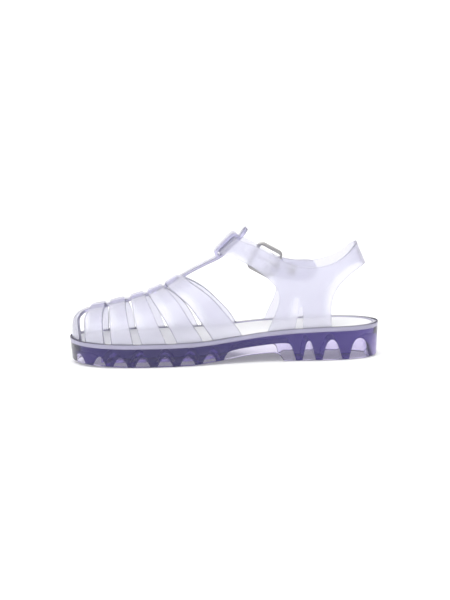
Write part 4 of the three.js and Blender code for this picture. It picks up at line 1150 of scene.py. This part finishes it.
# %% The long strap's outer half, to its tail
TAIL_ROUND, TAIL_POWER = 7.5, 2.4
low_points = [p for p in lowered(low_path, 1)[::12] if 113 < p[0] < 143]
slopes = np.gradient(outer_top[:, 1], outer_top[:, 0])
one_width = outer_top + unit(np.stack([slopes, 0 * slopes - 1], 1)) * STRAP_WIDTH
low_points += [p for p in one_width[::10] if 149 < p[0] < 206]
end_angle = float(ankle_angle(TAIL_STATION + 5.5, 68.0, 1))
angles = even_angles(0, end_angle, 1.3, 1)
z_low, z_high = (edge_height(path, angles, 1) for path in (path_through(low_points, 300), outer_top))
ease = 1 - smooth(0, 0.12, angles)
z_low, z_high = mix(z_low, centre_low, ease), mix(z_high, centre_high, ease)
middle = (z_low + z_high) / 2
stations = ankle_point(angles, 1, middle)[:, 0]
beyond = np.clip((stations - stations[-1] + TAIL_ROUND) / TAIL_ROUND, 0, 0.985)
narrow = np.sqrt(1 - beyond**TAIL_POWER)
angle_grid, z_grid = band_grid(angles, mix(middle, z_low, narrow), angles, mix(middle, z_high, narrow))
rise = step_out(ankle_point(angle_grid, 1, z_grid))
rear_grids.append(ankle_point(angle_grid, 1, z_grid, rise))


# %% The rear wall
def ankle_centre(p):
    """The middle of the ankle at the point's own height."""
    return np.stack([np.clip(p[:, 0], 150, 215), 0 * p[:, 0], p[:, 2]], -1)


sheet, quads = join_blocks([block(grid) for grid in rear_grids], ankle_centre)
normal = corner_normals(sheet, quads)
rear = wall("rear_upper_clear", sheet, sheet - normal * WALL, quads, UPPER_ROUND)

# %% [markdown]
# ## Holes, slots and the short strap's eye
#
# The short strap is folded round the buckle's rear bar, so its front end is a barrel with a bore. A
# notch in the barrel leaves room for the prong. The long strap has round holes, and each leg has a
# narrow slot that lets it spread. All are plain solids, joined to or cut from the wall.

# %% Bars, boxes and cuts
BAR_RADIUS, EYE_WALL, EYE_OUT, EYE_ROUND, NOTCH_WIDTH = 1.2, 1.3, -0.8, 0.5, 4
EYE_HALF = FRAME_WIDTH / 2 - FRAME_CORNER - 0.3
BARREL_RADIUS = BAR_RADIUS + FIT_GAP + EYE_WALL
HOLE_RADIUS, HOLE_PITCH, PRONG_HOLE = 1.6, 9.5, (-7.2, -3)
HOLE_LOW, HOLE_HIGH, CUT_DEPTHS = -5, 9, (-8, 2.05)


def cut(tool):
    """Takes a solid away from the rear upper."""
    combine(rear, tool, "DIFFERENCE")


def turned(name, start, stop, profile, count=32):
    """A profile of distances and radii along the line from start to stop, turned round that line."""
    axis = unit(stop - start)
    side = unit(np.cross(axis, buckle[2] + 0.01))
    about = circle(count) @ np.stack([side, np.cross(axis, side)])
    return loft(name, [start + axis * at + about * radius for at, radius in profile])


def rod(name, start, stop, radius):
    """A round bar between two points."""
    return turned(name, start, stop, [(0, radius), (np.linalg.norm(stop - start), radius)])


def box_in_buckle(name, along, across):
    """A box in the buckle's own axes, as deep as a cut at the eye has to be."""
    ring = [(along[0], across[0]), (along[1], across[0]), (along[1], across[1]), (along[0], across[1])]
    return loft(name, [[in_buckle(a, b, out) for a, b in ring] for out in CUT_DEPTHS])


shoulder = BARREL_RADIUS + 0.6
for way in (-1, 1):
    cut(box_in_buckle("shoulder", (-shoulder, 2), sorted((way * EYE_HALF, way * 14))))
barrel_end = [(0, -EYE_ROUND), (0.15, -0.2), (EYE_ROUND, 0)]
profile = [(at, BARREL_RADIUS + less) for at, less in barrel_end]
profile += [(2 * EYE_HALF - at, radius) for at, radius in profile[::-1]]
ends = [in_buckle(0, way * EYE_HALF, EYE_OUT) for way in (-1, 1)]
combine(rear, turned("barrel", *ends, profile), "UNION")
bore_ends = [in_buckle(0, way * (EYE_HALF + 2), EYE_OUT) for way in (-1, 1)]
cut(rod("bore", *bore_ends, BAR_RADIUS + FIT_GAP))
cut(box_in_buckle("notch", (-shoulder, 3.6), (-NOTCH_WIDTH / 2, NOTCH_WIDTH / 2)))

# %% The rivet's hole, the strap's holes and the legs' slots
RIVET_STATION, RIVET_HEAD, RIVET_CAP, RIVET_SHANK = 183, 3.6, 0.9, 1.6
rivet_axes = strap_axes(RIVET_STATION)
at_rivet = lambda out: in_buckle(0, 0, out, rivet_axes)
cut(rod("rivet_hole", at_rivet(-6), at_rivet(1.5), RIVET_SHANK + FIT_GAP))


def rounded_hole(axes, low, stretch=0.0):
    """A tool for a hole through the strap: a round or stretched rod along the axes' out."""
    ring = circle(40) * HOLE_RADIUS
    ring[:, 0] += np.sign(ring[:, 0]) * stretch / 2
    return loft("hole", [[in_buckle(u, v, o, axes) for u, v in ring] for o in (low, HOLE_HIGH)])


prong_middle = (in_buckle(sum(PRONG_HOLE) / 2, 0, 0), *buckle[1:])
cut(rounded_hole(prong_middle, HOLE_LOW, PRONG_HOLE[1] - PRONG_HOLE[0]))
for i in (1, 2):
    cut(rounded_hole(strap_axes(EYE_STATION + i * HOLE_PITCH - 2), 1.2))
cut(rounded_hole(strap_axes(EYE_STATION - 2.6 * HOLE_PITCH), HOLE_LOW))
SLOT_FRONT, SLOT_REAR, SLOT_TOP = 180.8, 187.3, 44
slot_outline = [
    (SLOT_FRONT, 0),
    (SLOT_FRONT, top_at(SLOT_FRONT)),
    (SLOT_REAR - 2.4, SLOT_TOP - 0.6),
    (SLOT_REAR - 1.7, SLOT_TOP),
    (SLOT_REAR - 0.6, SLOT_TOP),
    (SLOT_REAR, SLOT_TOP - 0.6),
    (SLOT_REAR, 0),
]
for way in (-1, 1):
    cut(side_prism("leg_slot", slot_outline, *sorted((0, way * 90))))
finished(rear, 40)

# %% [markdown]
# ## The buckle
#
# The frame is one bar: a rounded oblong whose rear bar lies in the eye, and whose front bar stands
# proud of the long strap. A section carried along that closed path makes it, round in the eye and
# oval elsewhere. The prong is a flat ring on the rear bar with a tapered tongue, and the rivet is a
# turned piece.

# %% The frame
RAIL_RADIUS = 1.6


def surface_out(along):
    """How far out from the buckle's plane the bent surface lies, at a distance along it."""
    p = in_buckle(along, 0, 0)
    on = ankle_point(ankle_angle(p[0], p[2], 1), 1, p[2])
    return (on - buckle[0]) @ buckle[3]


def tube(name, path, radius, flat, closed=False, count=20):
    """An oval section (radius out, flat sideways) carried along a path, square to it all the way."""
    p = np.asarray(path, float)
    way = unit(np.roll(p, -1, 0) - np.roll(p, 1, 0) if closed else np.gradient(p, axis=0))
    up = unit(buckle[3] - way * (way @ buckle[3])[:, None])
    axes = np.stack([up * np.reshape(radius, (-1, 1)), np.cross(way, up) * np.reshape(flat, (-1, 1))], 1)
    return loft(name, list(p[:, None] + circle(count) @ axes), closed)


FRONT_OUT = surface_out(-FRAME_LENGTH) + BAR_RADIUS + 0.7
corners = [
    (-FRAME_CORNER, FRAME_WIDTH / 2 - FRAME_CORNER),
    (-FRAME_LENGTH + FRAME_CORNER, FRAME_WIDTH / 2 - FRAME_CORNER),
    (-FRAME_LENGTH + FRAME_CORNER, -FRAME_WIDTH / 2 + FRAME_CORNER),
    (-FRAME_CORNER, -FRAME_WIDTH / 2 + FRAME_CORNER),
]
flat_path = []
for i, corner in enumerate(corners):
    a = (i / 4 + np.linspace(0, 0.25, 10)) * 2 * np.pi
    flat_path.append(corner + FRAME_CORNER * np.stack([np.cos(a), np.sin(a)], 1))
flat_path = np.vstack(flat_path)
rise = mix(EYE_OUT, FRONT_OUT, -flat_path[:, 0] / FRAME_LENGTH)
frame_path = [in_buckle(a, b, o) for (a, b), o in zip(flat_path, rise)]
rail = mix(BAR_RADIUS, RAIL_RADIUS, smooth(0, FRAME_CORNER, -flat_path[:, 0]))
buckle_frame = tube("buckle_wire", frame_path, BAR_RADIUS, rail, True)
finished(buckle_frame, 60)

# %% The prong
PRONG_RADIUS, PRONG_RING = 0.8, 2.9
half = NOTCH_WIDTH / 2 - 0.6
inner_radius = BAR_RADIUS + 0.2
ring = [(PRONG_RING, -half + 0.3), (PRONG_RING - 0.3, -half)]
ring += [(inner_radius + 0.25, -half), (inner_radius, -half + 0.3)]
ring += [(r, -v) for r, v in ring[::-1]]
prong_rings = [[in_buckle(r * c, v, EYE_OUT + r * s) for r, v in ring] for c, s in circle(48)]
prong = loft("buckle_tongue", prong_rings, True)
t = np.linspace(0, 1, 24)
start_out, stop_out = EYE_OUT + PRONG_RING - PRONG_RADIUS, FRONT_OUT + BAR_RADIUS + PRONG_RADIUS + 0.25
shaft = [in_buckle(-0.6 - FRAME_LENGTH * s, 0, mix(start_out, stop_out, s)) for s in t]
tip = np.sqrt(1 - ((t - 0.97) / 0.03).clip(0, 1) ** 2)
taper = PRONG_RADIUS * mix(1, 0.85, t) * np.maximum(tip, 0.35)
combine(prong, tube("shaft", shaft, taper, taper), "UNION")
finished(prong, 50)

# %% The rivet
CAP = [(1, 0.55), (0.8, 0.8), (0.4, 0.97), (0.1, 1), (0, 0.97)]
in_cap, out_cap = -WALL - 0.35, 0.35
inside, beyond = (
    [(at + way * high * RIVET_CAP, wide * RIVET_HEAD) for high, wide in CAP]
    for at, way in ((in_cap, -1), (out_cap, 1))
)
profile = [*inside, (in_cap + 0.01, RIVET_SHANK), (out_cap - 0.01, RIVET_SHANK), *beyond[::-1]]
rivet = turned("rivet_caps", at_rivet(0), at_rivet(1), profile, 40)
finished(rivet, 40)

# %% [markdown]
# ## Finishes
#
# Soft vinyl is clear but never quite smooth: it is wavy from the mould and faintly hazy. One node
# group makes that surface for every vinyl piece, from a slow wave and a fine grain, and paints
# shade on its rounded edges where it is given a dark edge colour, as the straps are. The tint isn't
# painted on. It is absorbed along the way that light travels inside the solid, so thin straps come
# out almost white and the thick sole deep lilac. The sole's faint glow is painted light.


# %% The moulded surface
def feed(node, inputs):
    """Links each input to the socket given for it, or sets its value."""
    for key, value in inputs.items():
        if isinstance(value, bpy.types.NodeSocket):
            node.id_data.links.new(value, node.inputs[key])
        else:
            node.inputs[key].default_value = value


def add_node(tree, kind, inputs=()):
    """A new shader node with its inputs fed."""
    node = tree.nodes.new("ShaderNode" + kind)
    feed(node, dict(inputs))
    return node


def noise(tree, scale, detail, offset):
    """A noise texture on a shifted copy of the coordinates, so that two of them never line up."""
    where = add_node(tree, "TexCoord").outputs["Object"]
    shift = add_node(tree, "Mapping", {"Vector": where, "Location": (offset, -offset, 2 * offset)})
    inputs = {"Vector": shift.outputs["Vector"], "Scale": scale, "Detail": detail}
    return add_node(tree, "TexNoise", inputs).outputs["Fac"]


moulded = bpy.data.node_groups.new("Moulded surface", "ShaderNodeTree")
SURFACE = "Smoothest", "Roughest", "Wave strength", "Grain strength"
for label in SURFACE:
    moulded.interface.new_socket(label, in_out="INPUT", socket_type="NodeSocketFloat")
for label in ("Face colour", "Painted edge shade"):
    moulded.interface.new_socket(label, in_out="INPUT", socket_type="NodeSocketColor")
for label, kind in (("Colour", "Color"), ("Roughness", "Float"), ("Normal", "Vector")):
    moulded.interface.new_socket(label, in_out="OUTPUT", socket_type="NodeSocket" + kind)
given = moulded.nodes.new("NodeGroupInput").outputs
# Painted shade: where the edge attribute is 1, on the rounded rims, the colour turns to the edge colour,
# which for the straps is near black, for the dark lines that clear edges show by refraction.
edge_shade_mask = add_node(moulded, "Attribute")
edge_shade_mask.attribute_name = "edge"
edge_shade_mix = add_node(moulded, "Mix")
edge_shade_mix.data_type = "RGBA"
feed(edge_shade_mix, {"Factor": edge_shade_mask.outputs["Fac"], 6: given["Face colour"], 7: given["Painted edge shade"]})
spread = {"From Min": 0.3, "From Max": 0.7, "To Min": given["Smoothest"], "To Max": given["Roughest"]}
haze = add_node(moulded, "MapRange", {"Value": noise(moulded, 120, 4, 0.07), **spread})
wave = {"Distance": 0.002, "Strength": given["Wave strength"], "Height": noise(moulded, 55, 2, 0.013)}
waved = add_node(moulded, "Bump", wave).outputs["Normal"]
grain = {"Distance": 0.0001, "Strength": given["Grain strength"], "Height": noise(moulded, 1400, 3, 0.04)}
grained = add_node(moulded, "Bump", {**grain, "Normal": waved}).outputs["Normal"]
results = {"Colour": edge_shade_mix.outputs[2], "Roughness": haze.outputs["Result"], "Normal": grained}
feed(moulded.nodes.new("NodeGroupOutput"), results)


def new_material(name, colour, surface, shading=(), edge=None):
    """A material of one colour with the moulded surface's roughness and normal, and more values for its
    shader. With an edge colour, the base colour turns to it where the edge attribute is 1: for the
    straps that is painted shade, the dark lines that clear edges show by refraction."""
    material = bpy.data.materials.new(name)
    material.use_nodes = True
    tree = material.node_tree
    skin = tree.nodes.new("ShaderNodeGroup")
    skin.node_tree = moulded
    feed(skin, dict(zip(SURFACE, surface)))
    shader = tree.nodes["Principled BSDF"]
    feed(shader, {"Base Color": (*colour, 1), **dict(shading)})
    feed(shader, {"Roughness": skin.outputs["Roughness"], "Normal": skin.outputs["Normal"]})
    if edge:
        feed(skin, {"Face colour": (*colour, 1), "Painted edge shade": (*edge, 1)})
        feed(shader, {"Base Color": skin.outputs["Colour"]})
    return material


# %% Clear and tinted vinyl
# A surface is given as its two roughnesses, then the strengths of its wave and its grain.
# The glow colour is painted light: a glow inside the sole that stands in for scattered light.
PAINTED_GLOW_COLOUR, SOLE_TINT, STRAP_TINT = (0.5, 0.43, 1), (0.16, 0.04, 0.5), (0.156, 0.089, 0.62)
# The straps' edge colour is painted shade: the dark lines that clear edges show by refraction.
STRAP_MILK, STRAP_EDGE_SHADE = (0.9, 0.9, 0.95), (0.04, 0.04, 0.07)
SOLE_MILK, RIM_MILK = (0.92, 0.9, 0.98), (0.56, 0.54, 0.7)


def vinyl(name, milk, edge, clear, tint, density, glow, surface):
    """Clear vinyl: a refracting, slightly milky surface round a volume that absorbs a colour per metre.
    A faint glow, an emission inside the volume, is painted light: it stands for the light that the haze
    scatters inside. Deep down it tends to glow over absorption, so that a long way through is deep
    violet and not black."""
    material = new_material(name, milk, surface, {"IOR": 1.45, "Transmission Weight": clear}, edge)
    tree = material.node_tree
    inside = add_node(tree, "VolumeAbsorption", {"Color": (*tint, 1), "Density": density})
    # Painted light: an emission that makes the volume glow, though it is no lamp.
    painted_glow = add_node(tree, "Emission", {"Color": (*PAINTED_GLOW_COLOUR, 1), "Strength": glow})
    both = add_node(tree, "AddShader", {0: inside.outputs["Volume"], 1: painted_glow.outputs["Emission"]})
    feed(tree.nodes["Material Output"], {"Volume": both.outputs["Shader"]})
    return material


strap_vinyl = vinyl("Strap vinyl", STRAP_MILK, STRAP_EDGE_SHADE, 0.8, STRAP_TINT, 46, 0, (0.2, 0.26, 0.03, 0.01))
# Only the sole glows: its glow strength of 1.4 is painted light that keeps its shaded cores from going black.
sole_vinyl = vinyl("Sole vinyl", SOLE_MILK, SOLE_MILK, 0.985, SOLE_TINT, 66, 1.4, (0.02, 0.06, 0.05, 0.01))
rim_vinyl = vinyl("Rim vinyl", RIM_MILK, RIM_MILK, 0.5, SOLE_TINT, 14, 0, (0.1, 0.16, 0.03, 0.01))

# %% Board, beads and metal
board_white = new_material("Board white", (0.8, 0.8, 0.81), (0.5, 0.62, 0.03, 0.35))
bead_violet = new_material("Bead violet", (0.03, 0.028, 0.05), (0.25, 0.4, 0, 0.1))
plated_metal = new_material("Plated metal", (0.42, 0.41, 0.41), (0.22, 0.38, 0.02, 0.1), {"Metallic": 1})

# %% [markdown]
# ## What stands for what
#
# Every piece rides on the one body, and each fine piece stands for the plain solid of its node. The
# solids stay in the physics. The beads are added to the rim and stand for no solid.

# %% Finishing, riding and replacing
for piece, material, node, slot_name in (
    (outsole, sole_vinyl, "outsole", "tinted_pvc"),
    (rim, rim_vinyl, "outsole", "tinted_pvc"),
    (insole, board_white, "insole", "white_foam"),
    (cage, strap_vinyl, "upper_front_cage", "clear_pvc"),
    (rear, strap_vinyl, "upper_rear_strap", "clear_pvc"),
    (buckle_frame, plated_metal, "buckle_frame", "buckle_metal"),
    (prong, plated_metal, "buckle_prong", "buckle_metal"),
    (rivet, plated_metal, "strap_rivet", "buckle_metal"),
):
    piece.data.materials.clear()
    piece.data.materials.append(material)
    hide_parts(node)
    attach(piece, "root")
beads.data.materials.append(bead_violet)
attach(beads, "root")
print("seven nodes have finer pieces, and the beads are added")

# %% [markdown]
# ## Floor, light and camera
#
# The picture is a studio shot on white. A very large matt floor runs out of the picture below the
# horizon. The light is a sky dome: bright behind and above the sandal, dimmer behind the camera, so
# that clear edges, which bend the view sideways, pick up darker lines.

# %% Floor
FLOOR_HALF, FLOOR_GAP = 12, 0.0004
WHITE = (1, 1, 1, 1)
floor_mesh = bpy.data.meshes.new("floor")
corners = [(x * FLOOR_HALF, y * FLOOR_HALF, -FLOOR_GAP) for x, y in ((-1, -1), (1, -1), (1, 1), (-1, 1))]
floor_mesh.from_pydata(corners, [], [(0, 1, 2, 3)])
floor_white = bpy.data.materials.new("Floor white")
floor_white.use_nodes = True
floor_shader = floor_white.node_tree.nodes["Principled BSDF"]
feed(floor_shader, {"Base Color": (0.8, 0.8, 0.8, 1), "Roughness": 0.9})
feed(floor_shader, {"Emission Color": WHITE, "Emission Strength": 0.22})
floor_mesh.materials.append(floor_white)
add_object("floor", floor_mesh)

# %% Light
scene = bpy.context.scene
scene.cycles.max_bounces = 32
scene.cycles.transmission_bounces = 32
scene.view_settings.view_transform = "Standard"
scene.view_settings.look = "None"
scene.world = bpy.data.worlds.new("Studio")
scene.world.use_nodes = True
sky = scene.world.node_tree


def eased(value, start, stop, low, high):
    """A node's value taken by an eased step from low to high between start and stop."""
    node = add_node(sky, "MapRange")
    node.interpolation_type = "SMOOTHSTEP"
    feed(node, {"Value": value, "From Min": start, "From Max": stop, "To Min": low, "To Max": high})
    return node.outputs["Result"]


way = add_node(sky, "TexCoord").outputs["Generated"]
depth = add_node(sky, "SeparateXYZ", {"Vector": way}).outputs["Y"]
lobe = add_node(sky, "VectorMath")
lobe.operation = "DOT_PRODUCT"
feed(lobe, {0: way, 1: (-0.25, -0.66, 0.71)})
softbox = eased(lobe.outputs["Value"], 0.72, 0.9, 0, 1.8)
total = add_node(sky, "Math", {0: eased(depth, -1, -0.35, 0.15, 1.12), 1: softbox})
feed(sky.nodes["Background"], {"Color": WHITE, "Strength": total.outputs["Value"]})

# %% Camera
VIEW_TURN, VIEW_RISE, VIEW_ROLL, VIEW_DISTANCE = -2.5, 8.7, -0.95, 3.0
PIXELS_PER_METRE, PICTURE_HEIGHT, SENSOR = 1236, 600, 36
turn, rise, roll = (math.radians(a) for a in (VIEW_TURN, VIEW_RISE, VIEW_ROLL))
level = np.array([-math.sin(turn), math.cos(turn), 0])
forward = level * math.cos(rise) - [0, 0, math.sin(rise)]
right = unit(np.cross(forward, [0, 0, 1]))
up = np.cross(right, forward)
cos, sin = math.cos(roll), math.sin(roll)
right, up = right * cos + up * sin, up * cos - right * sin
place_at = np.array([0, 0, 0.05]) - forward * VIEW_DISTANCE
camera_data = bpy.data.cameras.new("camera")
camera_data.sensor_fit = "VERTICAL"
camera_data.sensor_height = SENSOR
camera_data.lens = PIXELS_PER_METRE * VIEW_DISTANCE / PICTURE_HEIGHT * SENSOR
camera_data.shift_x = (225 - 223.6) / PICTURE_HEIGHT
camera_data.shift_y = (295.8 - 300) / PICTURE_HEIGHT
camera_data.clip_end = 60
scene.camera = add_object("camera", camera_data)
rows = np.column_stack([right, up, -forward, place_at])
scene.camera.matrix_world = Matrix([*rows.tolist(), [0, 0, 0, 1]])
print(f"camera at {np.round(place_at, 2)} with a {camera_data.lens:.0f} mm lens")

# %% The end
bpy.context.view_layer.update()
